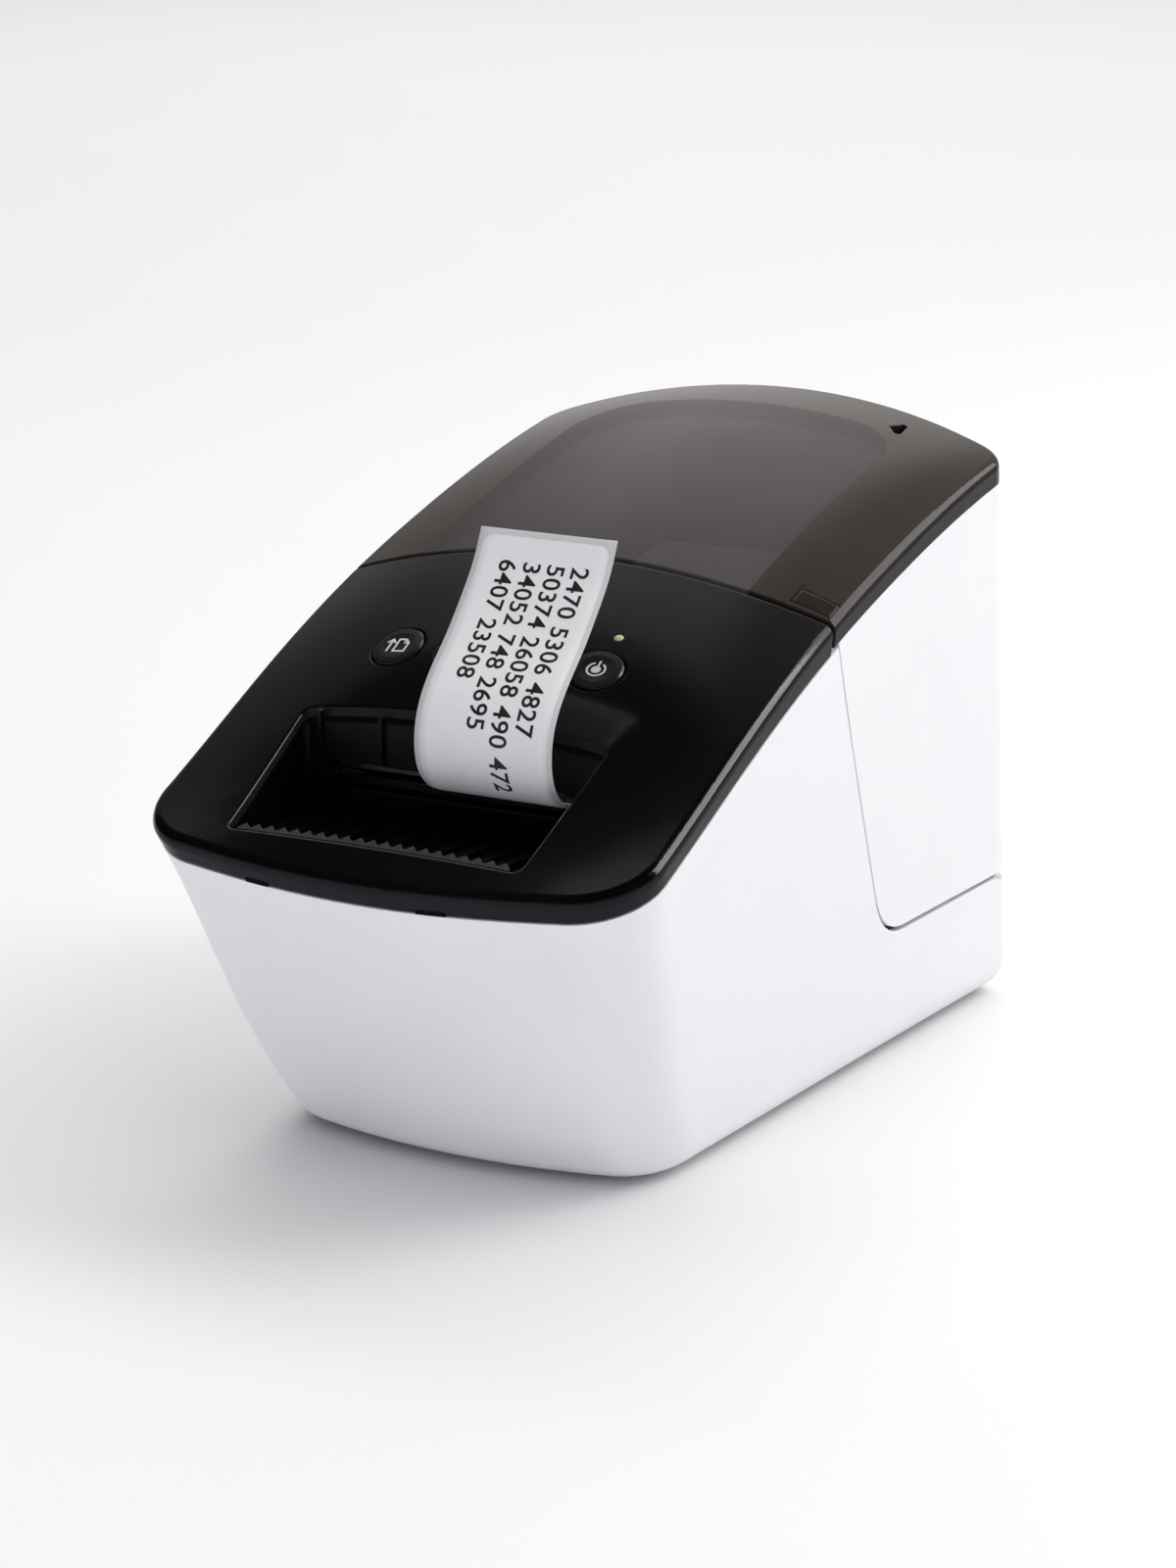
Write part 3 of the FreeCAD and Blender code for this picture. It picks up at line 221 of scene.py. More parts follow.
def smoke():
    s = Shader("smoke_window_plastic")
    drift = s.noise(24.0, 4.0)
    s.roughness(s.span(s.noise(40.0, 6.0, 0.6), 0.3, 0.72, 0.07, 0.13))
    skin = s.bump(s.noise(800.0, 2.0), 0.10, 0.000007, s.soft_edge(0.00045))
    # clear over the roll bay, solid dark border outside it
    xyz = s.node("ShaderNodeSeparateXYZ")
    s.link(s.coord, xyz.inputs["Vector"])

    def calc(op, a, b=None):
        n = s.node("ShaderNodeMath", operation=op)
        for sock, v in zip(n.inputs, (a, b)):
            if isinstance(v, (int, float)):
                sock.default_value = v
            elif v is not None:
                s.link(v, sock)
        return n.outputs[0]

    qx = calc("MAXIMUM", calc("SUBTRACT", calc("ABSOLUTE", xyz.outputs["X"]), 0.0275), 0.0)
    qy = calc("MAXIMUM", calc("SUBTRACT", xyz.outputs["Y"], 0.0625), 0.0)
    d = calc("SQRT", calc("ADD", calc("MULTIPLY", qx, qx), calc("MULTIPLY", qy, qy)))
    border = s.span(d, 0.0152, 0.0158, 0.0, 1.0)
    clear = s.ramp(drift, [(0.3, (0.064, 0.0565, 0.0540)), (0.7, (0.077, 0.0685, 0.0655))])
    solid = s.ramp(drift, [(0.3, (0.0215, 0.0150, 0.0112)), (0.7, (0.0285, 0.0204, 0.0155))])
    side = s.side_mask()
    s.colour(s.mix(side, s.mix(border, clear, solid), s.ramp(drift, BAND_TONE)))
    s.link(s.span(border, 0.0, 1.0, 0.63, 1.0), s.b.inputs["Alpha"])
    s.lacquer(side, skin)
    s.set(ior=1.5, spec=0.04, coat_rough=0.095)
    return s.m


MAT["smoke"] = smoke()
MAT["black"] = plastic("black_plastic_moulded", (0.013, 0.0128, 0.0132), (0.021, 0.0205, 0.021), (0.36, 0.50), 1900.0, 0.000022, 40.0, 0.0002)
# black plastic with painted shade: its tone is pushed far below the other black plastics to darken the deep outlet
# recess
MAT["chute"] = plastic("black_plastic_chute_painted_shade", (0.0016, 0.0015, 0.0015), (0.0032, 0.0030, 0.0030), (0.30, 0.42), 1500.0, 0.000016, 55.0, 0.0002, spec=0.13)
MAT["tear"] = plastic("grey_plastic_tear_bar", (0.030, 0.030, 0.031), (0.043, 0.043, 0.044), (0.20, 0.30), 1500.0, 0.000012, 70.0, 0.0001)
MAT["tub"] = plastic("charcoal_plastic_tub", (0.030, 0.030, 0.032), (0.042, 0.042, 0.045), (0.42, 0.56), 1700.0, 0.000025, 38.0, 0.0002)
MAT["frame"] = plastic("black_plastic_lid_frame", (0.0075, 0.0066, 0.0062), (0.0115, 0.0102, 0.0097), (0.34, 0.48), 1700.0, 0.000018, 40.0)
MAT["button"] = plastic("button_gloss_black", (0.0085, 0.0075, 0.0072), (0.0140, 0.0125, 0.0120), (0.14, 0.22), 1200.0, 0.000006, 60.0, 0.0002, coat=0.25, coat_rough=0.08)
MAT["grey"] = plastic("grey_plastic_base", (0.20, 0.20, 0.205), (0.25, 0.25, 0.255), (0.42, 0.56), 1700.0, 0.000026, 36.0, 0.0002)
MAT["gear"] = plastic("gear_plastic_natural", (0.60, 0.57, 0.49), (0.69, 0.66, 0.58), (0.34, 0.46), 1800.0, 0.000012, 60.0, sss=0.08, sss_r=(1.0, 0.85, 0.6), sss_s=0.0015)
MAT["rubber"] = plastic("black_rubber", (0.014, 0.014, 0.0145), (0.026, 0.026, 0.027), (0.62, 0.80), 2600.0, 0.000040, 70.0)
MAT["platen"] = plastic("platen_rubber_black", (0.020, 0.020, 0.021), (0.034, 0.034, 0.035), (0.55, 0.70), 3400.0, 0.000022, 90.0)


def metal(name, dark, light, rough, stretch, scale, bump_d, **k):
    s = Shader(name)
    vec = s.stretched(stretch)
    s.colour(s.ramp(s.noise(scale, 5.0, 0.6, vec), [(0.25, dark), (0.75, light)]))
    s.roughness(s.span(s.noise(scale * 0.7, 5.0, 0.6, vec), 0.3, 0.7, rough[0], rough[1]))
    s.bump(s.noise(scale * 2.0, 3.0, 0.6, vec), 0.3, bump_d)
    s.set(metal=1.0, **k)
    return s.m


MAT["steel"] = metal("steel_turned", (0.50, 0.50, 0.51), (0.66, 0.66, 0.67), (0.22, 0.36), (0.15, 1, 1), 900.0, 0.000006)
MAT["blade"] = metal("blade_steel_ground", (0.58, 0.59, 0.60), (0.74, 0.75, 0.76), (0.16, 0.28), (0.04, 1, 1), 1500.0, 0.000005)
MAT["motor"] = metal("motor_can_plated", (0.46, 0.46, 0.47), (0.60, 0.60, 0.61), (0.28, 0.42), (1, 0.2, 1), 420.0, 0.000006)
MAT["brass"] = metal("brass_turned", (0.66, 0.47, 0.20), (0.80, 0.60, 0.30), (0.22, 0.36), (0.2, 1, 1), 800.0, 0.000006)
MAT["alu"] = metal("aluminium_extruded", (0.66, 0.67, 0.68), (0.80, 0.81, 0.82), (0.26, 0.40), (0.03, 1, 1), 900.0, 0.000008)


def plated_sheet():
    s = Shader("sheet_steel_plated")
    cells = s.voronoi(320.0, out="Color")
    grey = s.node("ShaderNodeSeparateColor")
    s.link(cells, grey.inputs["Color"])
    s.colour(s.ramp(grey.outputs["Red"], [(0.0, (0.50, 0.51, 0.52)), (1.0, (0.66, 0.67, 0.68))]))
    s.roughness(s.span(grey.outputs["Green"], 0.0, 1.0, 0.24, 0.40))
    s.bump(s.noise(700.0, 4.0), 0.2, 0.000008)
    s.set(metal=1.0)
    return s.m


MAT["sheet"] = plated_sheet()


def ceramic():
    s = Shader("ceramic_head_glazed")
    vec = s.stretched((0.08, 1, 1))
    s.colour(s.ramp(s.noise(700.0, 3.0, 0.5, vec), [(0.3, (0.055, 0.042, 0.034)), (0.7, (0.095, 0.074, 0.060))]))
    s.roughness(s.span(s.noise(300.0, 4.0), 0.3, 0.7, 0.12, 0.24))
    s.bump(s.noise(1600.0, 2.0, 0.5, vec), 0.2, 0.000005)
    s.set(coat=0.3, coat_rough=0.06)
    return s.m


MAT["ceramic"] = ceramic()


def paper(name, dark, light, tint=None):
    s = Shader(name)
    fib = s.noise(1500.0, 6.0, 0.7, s.stretched((1.0, 0.45, 0.45)))
    s.colour(s.ramp(s.mix(0.5, fib, s.noise(60.0, 4.0)), [(0.32, dark), (0.68, light)]))
    s.roughness(s.span(fib, 0.3, 0.7, 0.48, 0.62))
    s.bump(fib, 0.25, 0.000012)
    s.set(spec=0.35, sss=0.04, sss_r=(1.0, 1.0, 1.0), sss_s=0.0006)
    return s.m


MAT["label"] = paper("thermal_label_paper", (0.850, 0.850, 0.858), (0.885, 0.885, 0.890))
MAT["liner"] = paper("label_liner_glassine", (0.610, 0.612, 0.630), (0.665, 0.667, 0.685))


def wound_roll():
    """Wound label stock: fine turns on the end faces."""
    s = Shader("label_roll_wound")
    vec = s.stretched(loc=(0.0, -0.042, -0.084))
    turns = s.wave(620.0, "RINGS", "X", 1.4, 2.0, vec)
    coarse = s.noise(90.0, 4.0)
    s.colour(s.ramp(s.mix(0.35, turns, coarse), [(0.15, (0.640, 0.640, 0.645)), (0.55, (0.775, 0.775, 0.780)), (0.9, (0.825, 0.825, 0.828))]))
    s.roughness(s.span(coarse, 0.3, 0.7, 0.50, 0.66))
    s.bump(turns, 0.35, 0.00004)
    s.set(spec=0.3)
    return s.m


MAT["roll"] = wound_roll()


def ink():
    s = Shader("thermal_print_black")
    s.colour(s.ramp(s.noise(2400.0, 3.0, 0.6), [(0.3, (0.010, 0.010, 0.011)), (0.72, (0.024, 0.024, 0.026))]))
    s.roughness(s.span(s.noise(1500.0, 3.0), 0.3, 0.7, 0.46, 0.60))
    s.bump(s.noise(3000.0, 2.0), 0.15, 0.000006)
    return s.m


MAT["ink"] = ink()


def board(name):
    """Solder-masked board: bands of tracks in two directions over a darker ground."""
    s = Shader(name)
    a = s.wave(210.0, "BANDS", "X", 3.0, 3.0)
    b = s.wave(170.0, "BANDS", "Y", 4.0, 3.0)
    cells = s.voronoi(160.0, out="Color")
    pick = s.node("ShaderNodeSeparateColor")
    s.link(cells, pick.inputs["Color"])
    lines = s.mix(pick.outputs["Red"], a, b)
    s.colour(s.ramp(lines, [(0.45, (0.010, 0.060, 0.030)), (0.55, (0.022, 0.125, 0.060)), (0.85, (0.030, 0.150, 0.072))]))
    s.roughness(s.span(s.noise(120.0, 4.0), 0.3, 0.7, 0.26, 0.38))
    s.bump(lines, 0.3, 0.00003)
    s.set(spec=0.5)
    return s.m


MAT["board"] = board("board_green_mask")


def parts_on_board():
    s = Shader("board_components")
    cells = s.voronoi(85.0, out="Color")
    pick = s.node("ShaderNodeSeparateColor")
    s.link(cells, pick.inputs["Color"])
    s.colour(s.ramp(pick.outputs["Red"], [(0.0, (0.020, 0.020, 0.022)), (0.50, (0.030, 0.030, 0.032)), (0.56, (0.075, 0.070, 0.060)), (0.80, (0.050, 0.050, 0.055))], "CONSTANT"))
    s.roughness(s.span(s.noise(240.0, 4.0), 0.3, 0.7, 0.32, 0.52))
    s.bump(s.noise(1500.0, 3.0), 0.3, 0.00002)
    return s.m


MAT["components"] = parts_on_board()


def ribbon():
    s = Shader("ribbon_film_striped")
    w = s.wave(250.0, "BANDS", "X", 0.0)
    s.colour(s.ramp(w, [(0.35, (0.62, 0.62, 0.60)), (0.55, (0.52, 0.40, 0.26))]))
    s.roughness(s.span(s.noise(150.0, 3.0), 0.3, 0.7, 0.24, 0.38))
    s.bump(w, 0.2, 0.00004)
    return s.m


MAT["ribbon"] = ribbon()


def lamp():
    s = Shader("lamp_lens_green")
    c = s.ramp(s.noise(900.0, 2.0), [(0.3, (0.36, 0.41, 0.22)), (0.7, (0.50, 0.56, 0.33))])
    s.colour(c)
    s.link(c, s.b.inputs["Emission Color"])
    s.roughness(s.span(s.noise(600.0, 2.0), 0.3, 0.7, 0.18, 0.30))
    s.set(emit=0.14)
    return s.m


MAT["lamp"] = lamp()


def legend():
    s = Shader("legend_pale_grey")
    s.colour(s.ramp(s.noise(2600.0, 3.0), [(0.3, (0.56, 0.56, 0.56)), (0.7, (0.68, 0.68, 0.68))]))
    s.roughness(s.span(s.noise(1500.0, 3.0), 0.3, 0.7, 0.40, 0.52))
    s.bump(s.noise(2600.0, 2.0), 0.15, 0.000006)
    return s.m


MAT["legend"] = legend()
# painted shade: near-black for the plates behind the band notches, standing in for the shaded inside
MAT["notch"] = plastic("notch_shadow_black", (0.0014, 0.0013, 0.0013), (0.0026, 0.0024, 0.0024), (0.55, 0.70), 1500.0, 0.000010, 60.0, spec=0.08)
MAT["latch"] = plastic("latch_tab_behind_smoke", (0.0110, 0.0080, 0.0066), (0.0155, 0.0115, 0.0096), (0.09, 0.14), 800.0, 0.000005, 40.0, spec=0.36)
MAT["latch_line"] = plastic("latch_tab_outline", (0.0030, 0.0022, 0.0020), (0.0050, 0.0038, 0.0034), (0.16, 0.26), 800.0, 0.000005, 60.0, spec=0.08)

FINISH = {
    "white": ["base_housing"],
    "white_lid": ["lid_hood"],
    "gloss": ["front_cover"],
    "smoke": ["lid_window"],
    "frame": ["lid_frame"],
    "chute": ["outlet_chute"],
    "tear": ["tear_bar"],
    "tub": ["roll_tub", "spool_arm_left", "spool_arm_right", "paper_guide"],
    "black": ["mech_deck", "blade_guides", "lid_switch", "label_sensor", "mains_inlet"],
    "button": ["feed_button", "cut_button", "editor_button", "power_button"],
    "grey": ["bottom_plate", "spool_core"],
    "gear": ["platen_gear", "idler_gear", "blade_rack"],
    "rubber": ["rubber_feet"],
    "platen": ["platen_rubber"],
    "steel": ["case_screws", "frame_screws", "board_screws", "platen_shaft", "idler_stud", "motor_shaft", "cutter_shaft", "head_pivot_shaft", "head_springs", "hinge_pins"],
    "sheet": ["print_frame", "frame_bridge", "data_port"],
    "blade": ["moving_blade", "fixed_blade"],
    "motor": ["feed_motor", "cutter_motor"],
    "brass": ["platen_bushes", "motor_pinion", "cutter_pinion"],
    "alu": ["head_bracket"],
    "ceramic": ["print_head"],
    "label": ["label_web", "printed_label"],
    "roll": ["label_roll"],
    "board": ["main_board", "supply_board", "button_board"],
    "components": ["board_parts", "supply_parts", "tact_switches"],
    "ribbon": ["flat_ribbon"],
    "lamp": ["lamp_pipes"],
}
for key, names in FINISH.items():
    for n in names:
        for sl in nodes[n].material_slots:
            sl.material = MAT[key]


# ------------------------------------------------------------------ mesh tools

def add_mesh(name, bm, mat, body, smooth=False):
    bmesh.ops.remove_doubles(bm, verts=bm.verts, dist=1e-7)
    bmesh.ops.recalc_face_normals(bm, faces=bm.faces)
    me = bpy.data.meshes.new(name)
    bm.to_mesh(me)
    bm.free()
    ob = bpy.data.objects.new(name, me)
    scene.collection.objects.link(ob)
    me.materials.append(MAT[mat])
    if smooth:
        for p in me.polygons:
            p.use_smooth = True
    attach(ob, body)
    return ob


def outline_solid(bm, outline, place, lo, hi):
    """A closed plate from a 2-D outline, laid on a surface by place(u, v, height)."""
    top = [bm.verts.new(place(u, v, hi)) for u, v in outline]
    bot = [bm.verts.new(place(u, v, lo)) for u, v in outline]
    faces = [bm.faces.new(top), bm.faces.new(list(reversed(bot)))]
    k = len(outline)
    for i in range(k):
        j = (i + 1) % k
        bm.faces.new((bot[i], bot[j], top[j], top[i]))
    bmesh.ops.triangulate(bm, faces=faces)


def ring_solid(bm, outer, inner, place, lo, hi):
    """A closed band between two matching 2-D loops."""
    k = len(outer)
    to = [bm.verts.new(place(u, v, hi)) for u, v in outer]
    ti = [bm.verts.new(place(u, v, hi)) for u, v in inner]
    bo = [bm.verts.new(place(u, v, lo)) for u, v in outer]
    bi = [bm.verts.new(place(u, v, lo)) for u, v in inner]
    for i in range(k):
        j = (i + 1) % k
        bm.faces.new((to[i], to[j], ti[j], ti[i]))
        bm.faces.new((bo[j], bo[i], bi[i], bi[j]))
        bm.faces.new((bo[i], bo[j], to[j], to[i]))
        bm.faces.new((bi[j], bi[i], ti[i], ti[j]))


def stroke(points, width, cap=5):
    """Outline of a round-ended stroke along a 2-D line."""
    pts = [Vector(p) for p in points]
    h = width / 2
    left, right = [], []
    for i, p in enumerate(pts):
        d0 = (p - pts[i - 1]).normalized() if i else None
        d1 = (pts[i + 1] - p).normalized() if i < len(pts) - 1 else None
        d = (d0 + d1).normalized() if d0 and d1 else (d0 or d1)
        nrm = Vector((-d.y, d.x))
        ref = d1 or d0
        m = h / max(0.4, nrm.dot(Vector((-ref.y, ref.x))))
        left.append(p + nrm * m)
        right.append(p - nrm * m)

    def arc(c, start, sweep):
        return [c + Vector((math.cos(start + sweep * k / cap), math.sin(start + sweep * k / cap))) * h for k in range(1, cap)]

    de = pts[-1] - pts[-2]
    ds = pts[0] - pts[1]
    out = left + arc(pts[-1], math.atan2(de.y, de.x) + math.pi / 2, -math.pi)
    out += list(reversed(right)) + arc(pts[0], math.atan2(ds.y, ds.x) + math.pi / 2, -math.pi)
    return [(p.x, p.y) for p in out]


def circle(cx, cy, r, k=40):
    return [(cx + r * math.cos(2 * math.pi * i / k), cy + r * math.sin(2 * math.pi * i / k)) for i in range(k)]


def arc_pts(cx, cy, r, a0, a1, k=26):
    return [(cx + r * math.cos(math.radians(a0 + (a1 - a0) * i / k)), cy + r * math.sin(math.radians(a0 + (a1 - a0) * i / k))) for i in range(k + 1)]


def tree_of(name):
    me = nodes[name].data
    return BVHTree.FromPolygons([v.co for v in me.vertices], [tuple(p.vertices) for p in me.polygons])


# ------------------------------------------------------------------ button legends

AXES = {j["name"]: Vector(j["axis"]) for j in frame["joints"] if "axis" in j}


def button_place(node, joint):
    """Maps (u right, v up the slope, height), in mm, onto the crowned top of a button."""
    n = -AXES[joint].normalized()
    co = [v.co.copy() for v in nodes[node].data.vertices]
    hi = max(c.dot(n) for c in co)
    rim = [c for c in co if c.dot(n) > hi - 0.0008]
    c = sum(rim, Vector()) / len(rim)
    ux = (Vector((1, 0, 0)) - n * n.x).normalized()
    uy = n.cross(ux)
    tree = tree_of(node)

    def place(u, v, h):
        p = c + ux * (u * 1.2 * MM) + uy * (v * 1.2 * MM)
        hit = tree.ray_cast(p + n * 0.006, -n, 0.012)[0]
        return (hit if hit is not None else p) + n * (h * MM)

    return place


LEG_LO, LEG_HI = -0.04, 0.03
W = 0.40

bm = bmesh.new()
pl = button_place("feed_button", "feed_press")
page = [(-0.35, -1.75), (2.15, -1.75), (2.15, 0.75), (1.15, 1.75), (-0.35, 1.75)]
for i in range(5):
    outline_solid(bm, stroke([page[i], page[(i + 1) % 5]], W), pl, LEG_LO, LEG_HI)
outline_solid(bm, stroke([(1.15, 1.75), (1.15, 0.75), (2.15, 0.75)], W * 0.8), pl, LEG_LO, LEG_HI)
outline_solid(bm, stroke([(-1.75, -1.75), (-1.75, 1.55)], W), pl, LEG_LO, LEG_HI)
outline_solid(bm, stroke([(-2.55, 0.75), (-1.75, 1.65), (-0.95, 0.75)], W), pl, LEG_LO, LEG_HI)
add_mesh("feed_legend", bm, "legend", "feed_key")

bm = bmesh.new()
pl = button_place("cut_button", "cut_press")
for sx in (-1, 1):
    ring_solid(bm, circle(sx * 1.15, -1.55, 0.95, 28), circle(sx * 1.15, -1.55, 0.58, 28), pl, LEG_LO, LEG_HI)
    outline_solid(bm, stroke([(sx * 0.72, -0.72), (-sx * 1.0, 2.35)], W), pl, LEG_LO, LEG_HI)
add_mesh("cut_legend", bm, "legend", "cut_key")

bm = bmesh.new()
pl = button_place("editor_button", "editor_press")
for line in ([(-0.2, 1.9), (-2.1, 1.9), (-2.1, -1.9), (1.7, -1.9), (1.7, -0.1)], [(-0.9, -0.75), (2.1, 2.25)], [(-0.9, -0.75), (-1.15, -1.1)], [(-0.35, -1.0), (2.45, 1.8)]):
    outline_solid(bm, stroke(line, W * (0.85 if len(line) == 2 else 1.0)), pl, LEG_LO, LEG_HI)
add_mesh("editor_legend", bm, "legend", "editor_key")

bm = bmesh.new()
pl = button_place("power_button", "power_press")
outline_solid(bm, stroke(arc_pts(0, -0.1, 1.75, 58, -238), W), pl, LEG_LO, LEG_HI)
outline_solid(bm, stroke([(0, 2.15), (0, 0.15)], W), pl, LEG_LO, LEG_HI)
add_mesh("power_legend", bm, "legend", "power_key")


# ------------------------------------------------------------------ painted shade: near-black plates behind the two notches under the front band, where the inside is in shade

cover_tree = tree_of("front_cover")
bm = bmesh.new()
for a, b in ((-29.7, -23.7), (14.3, 21.3)):
    rows = []
    for i in range(11):
        x = a + (b - a) * i / 10
        y = -0.1045
        for _ in range(4):
            up = cover_tree.ray_cast(Vector((x * MM, y, 0.055)), Vector((0, 0, 1)))[0]
            y = cover_tree.ray_cast(Vector((x * MM, -0.2, up.z + 0.0005)), Vector((0, 1, 0)))[0].y + 0.0012
        rows.append([Vector((x * MM, y + q, up.z + z)) for q, z in ((-0.0007, -0.00006), (-0.0007, -0.00148), (0.0005, -0.00148), (0.0005, -0.00006))])
    ring = [[bm.verts.new(p) for p in r] for r in rows]
    for r0, r1 in zip(ring, ring[1:]):
        for k in range(4):
            bm.faces.new((r0[k], r0[(k + 1) % 4], r1[(k + 1) % 4], r1[k]))
    bm.faces.new(ring[0])
    bm.faces.new(ring[-1])
add_mesh("notch_shade_backs", bm, "notch", "base")


# ------------------------------------------------------------------ latch tab at the lid's front right corner

lid_tree = tree_of("lid_window")


def lid_place(x, y, h):
    hit, n = lid_tree.ray_cast(Vector((x * MM, y * MM, 0.3)), Vector((0, 0, -1)))[:2]
    return hit + n * (h * MM)


def patch(bm, corners, nu, nv, lo, hi):
    """A thin closed plate over a four-cornered patch of the lid's top face."""
    a, b, c, d = (Vector(p) for p in corners)
    rows = []
    for i in range(nu + 1):
        t = i / nu
        rows.append([(a.lerp(b, t)).lerp(d.lerp(c, t), j / nv) for j in range(nv + 1)])
    top = [[bm.verts.new(lid_place(p.x, p.y, hi)) for p in r] for r in rows]
    bot = [[bm.verts.new(lid_place(p.x, p.y, lo)) for p in r] for r in rows]
    for i in range(nu):
        for j in range(nv):
            bm.faces.new((top[i][j], top[i + 1][j], top[i + 1][j + 1], top[i][j + 1]))
            bm.faces.new((bot[i][j], bot[i][j + 1], bot[i + 1][j + 1], bot[i + 1][j]))
    for i in range(nu):
        bm.faces.new((top[i][0], bot[i][0], bot[i + 1][0], top[i + 1][0]))
        bm.faces.new((top[i + 1][nv], bot[i + 1][nv], bot[i][nv], top[i][nv]))
    for j in range(nv):
        bm.faces.new((top[0][j + 1], bot[0][j + 1], bot[0][j], top[0][j]))
        bm.faces.new((top[nu][j], bot[nu][j], bot[nu][j + 1], top[nu][j + 1]))


bm = bmesh.new()
patch(bm, [(52.7, -6.3), (62.0, -5.6), (62.0, -0.45), (52.7, -1.0)], 18, 10, -0.05, 0.012)
add_mesh("latch_tab", bm, "latch", "lid", True)
bm = bmesh.new()
patch(bm, [(52.15, -6.3), (52.7, -6.3), (52.7, 1.3), (52.15, 1.3)], 2, 14, -0.05, 0.014)
patch(bm, [(52.7, -1.0), (62.2, -0.45), (62.2, 0.05), (52.7, -0.50)], 18, 2, -0.05, 0.014)
add_mesh("latch_outline", bm, "latch_line", "lid", True)


# ------------------------------------------------------------------ printed label

PATH = [(-63.4, 86.2), (-66.6, 86.7), (-70.9, 88.8), (-74.8, 93.0), (-76.4, 99.6), (-74.7, 107.2), (-69.4, 114.5), (-62.1, 121.4), (-55.3, 128.8), (-49.8, 135.9), (-46.3, 142.8)]


def spline(points):
    """Natural cubic through the points, by chord length, as dense samples."""
    p = np.array(points, float)
    t = np.concatenate([[0], np.cumsum(np.hypot(*np.diff(p, axis=0).T))])
    n = len(t)
    h = np.diff(t)
    out = []
    tt = np.linspace(0, t[-1], 900)
    for q in range(2):
        y = p[:, q]
        a = np.eye(n)
        r = np.zeros(n)
        for i in range(1, n - 1):
            a[i, i - 1:i + 2] = h[i - 1], 2 * (h[i - 1] + h[i]), h[i]
            r[i] = 6 * ((y[i + 1] - y[i]) / h[i] - (y[i] - y[i - 1]) / h[i - 1])
        m = np.linalg.solve(a, r)
        k = np.clip(np.searchsorted(t, tt, side="right") - 1, 0, n - 2)
        d = tt - t[k]
        e = t[k + 1] - tt
        out.append((m[k] * e ** 3 + m[k + 1] * d ** 3) / (6 * h[k]) + (y[k] / h[k] - m[k] * h[k] / 6) * e + (y[k + 1] / h[k] - m[k + 1] * h[k] / 6) * d)
    return np.stack(out, 1)


LINE = spline(PATH)
ARC = np.concatenate([[0], np.cumsum(np.hypot(*np.diff(LINE, axis=0).T))])
LEN = float(ARC[-1])
TAN = np.gradient(LINE, ARC, axis=0)
TAN /= np.linalg.norm(TAN, axis=1)[:, None]


def on_label(s, x, w):
    """Point at arc length s, width x and height w above the paper's middle, all in mm."""
    y, z = (np.interp(s, ARC, LINE[:, k]) for k in (0, 1))
    ty, tz = (np.interp(s, ARC, TAN[:, k]) for k in (0, 1))
    return Vector((x * MM, (y - tz * w) * MM, (z + ty * w) * MM))


X0, X1 = -5.2, 29.5


def strip(rows, lo, hi):
    """A closed thin sheet over rows of (s, x) points."""
    bm = bmesh.new()
    top = [[bm.verts.new(on_label(s, x, hi)) for s, x in row] for row in rows]
    bot = [[bm.verts.new(on_label(s, x, lo)) for s, x in row] for row in rows]
    nr, nc = len(rows), len(rows[0])
    for i in range(nr - 1):
        for j in range(nc - 1):
            bm.faces.new((top[i][j], top[i][j + 1], top[i + 1][j + 1], top[i + 1][j]))
            bm.faces.new((bot[i][j + 1], bot[i][j], bot[i + 1][j], bot[i + 1][j + 1]))
    for i in range(nr - 1):
        bm.faces.new((bot[i][0], top[i][0], top[i + 1][0], bot[i + 1][0]))
        bm.faces.new((top[i][-1], bot[i][-1], bot[i + 1][-1], top[i + 1][-1]))
    for j in range(nc - 1):
        bm.faces.new((top[0][j], bot[0][j], bot[0][j + 1], top[0][j + 1]))
        bm.faces.new((bot[-1][j], top[-1][j], top[-1][j + 1], bot[-1][j + 1]))
    return bm


rows = [[(LEN * i / 90, X0 + (X1 - X0) * j / 14) for j in range(15)] for i in range(91)]
liner = add_mesh("label_liner", strip(rows, -0.11, 0.0), "liner", "base", True)
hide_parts("printed_label")

RAD, SIDE, END = 2.6, 1.3, 1.5
s_top = LEN - END
stations = [LEN * 0.0 + 0.6 + (s_top - RAD - 0.6) * i / 80 for i in range(81)] + [s_top - RAD + RAD * math.sin(math.pi / 2 * k / 10) for k in range(1, 11)]
rows = []
for s in stations:
    d = max(0.0, s - (s_top - RAD))
    inset = SIDE + RAD - math.sqrt(max(0.0, RAD * RAD - d * d))
    a, b = X0 + inset, X1 - inset
    rows.append([(s, a + (b - a) * j / 14) for j in range(15)])
add_mesh("label_face", strip(rows, 0.0, 0.10), "label", "base", True)


def text_mesh(body, size):
    cu = bpy.data.curves.new("print_line", "FONT")
    cu.body = body
    cu.size = size
    cu.extrude = 0.02
    cu.offset = 0.07
    cu.space_character = 1.04
    cu.resolution_u = 4
    ob = bpy.data.objects.new("print_line", cu)
    scene.collection.objects.link(ob)
    bpy.context.view_layer.update()
    me = bpy.data.meshes.new_from_object(ob.evaluated_get(bpy.context.evaluated_depsgraph_get()))
    bpy.data.objects.remove(ob)
    bpy.data.curves.remove(cu)
    return me


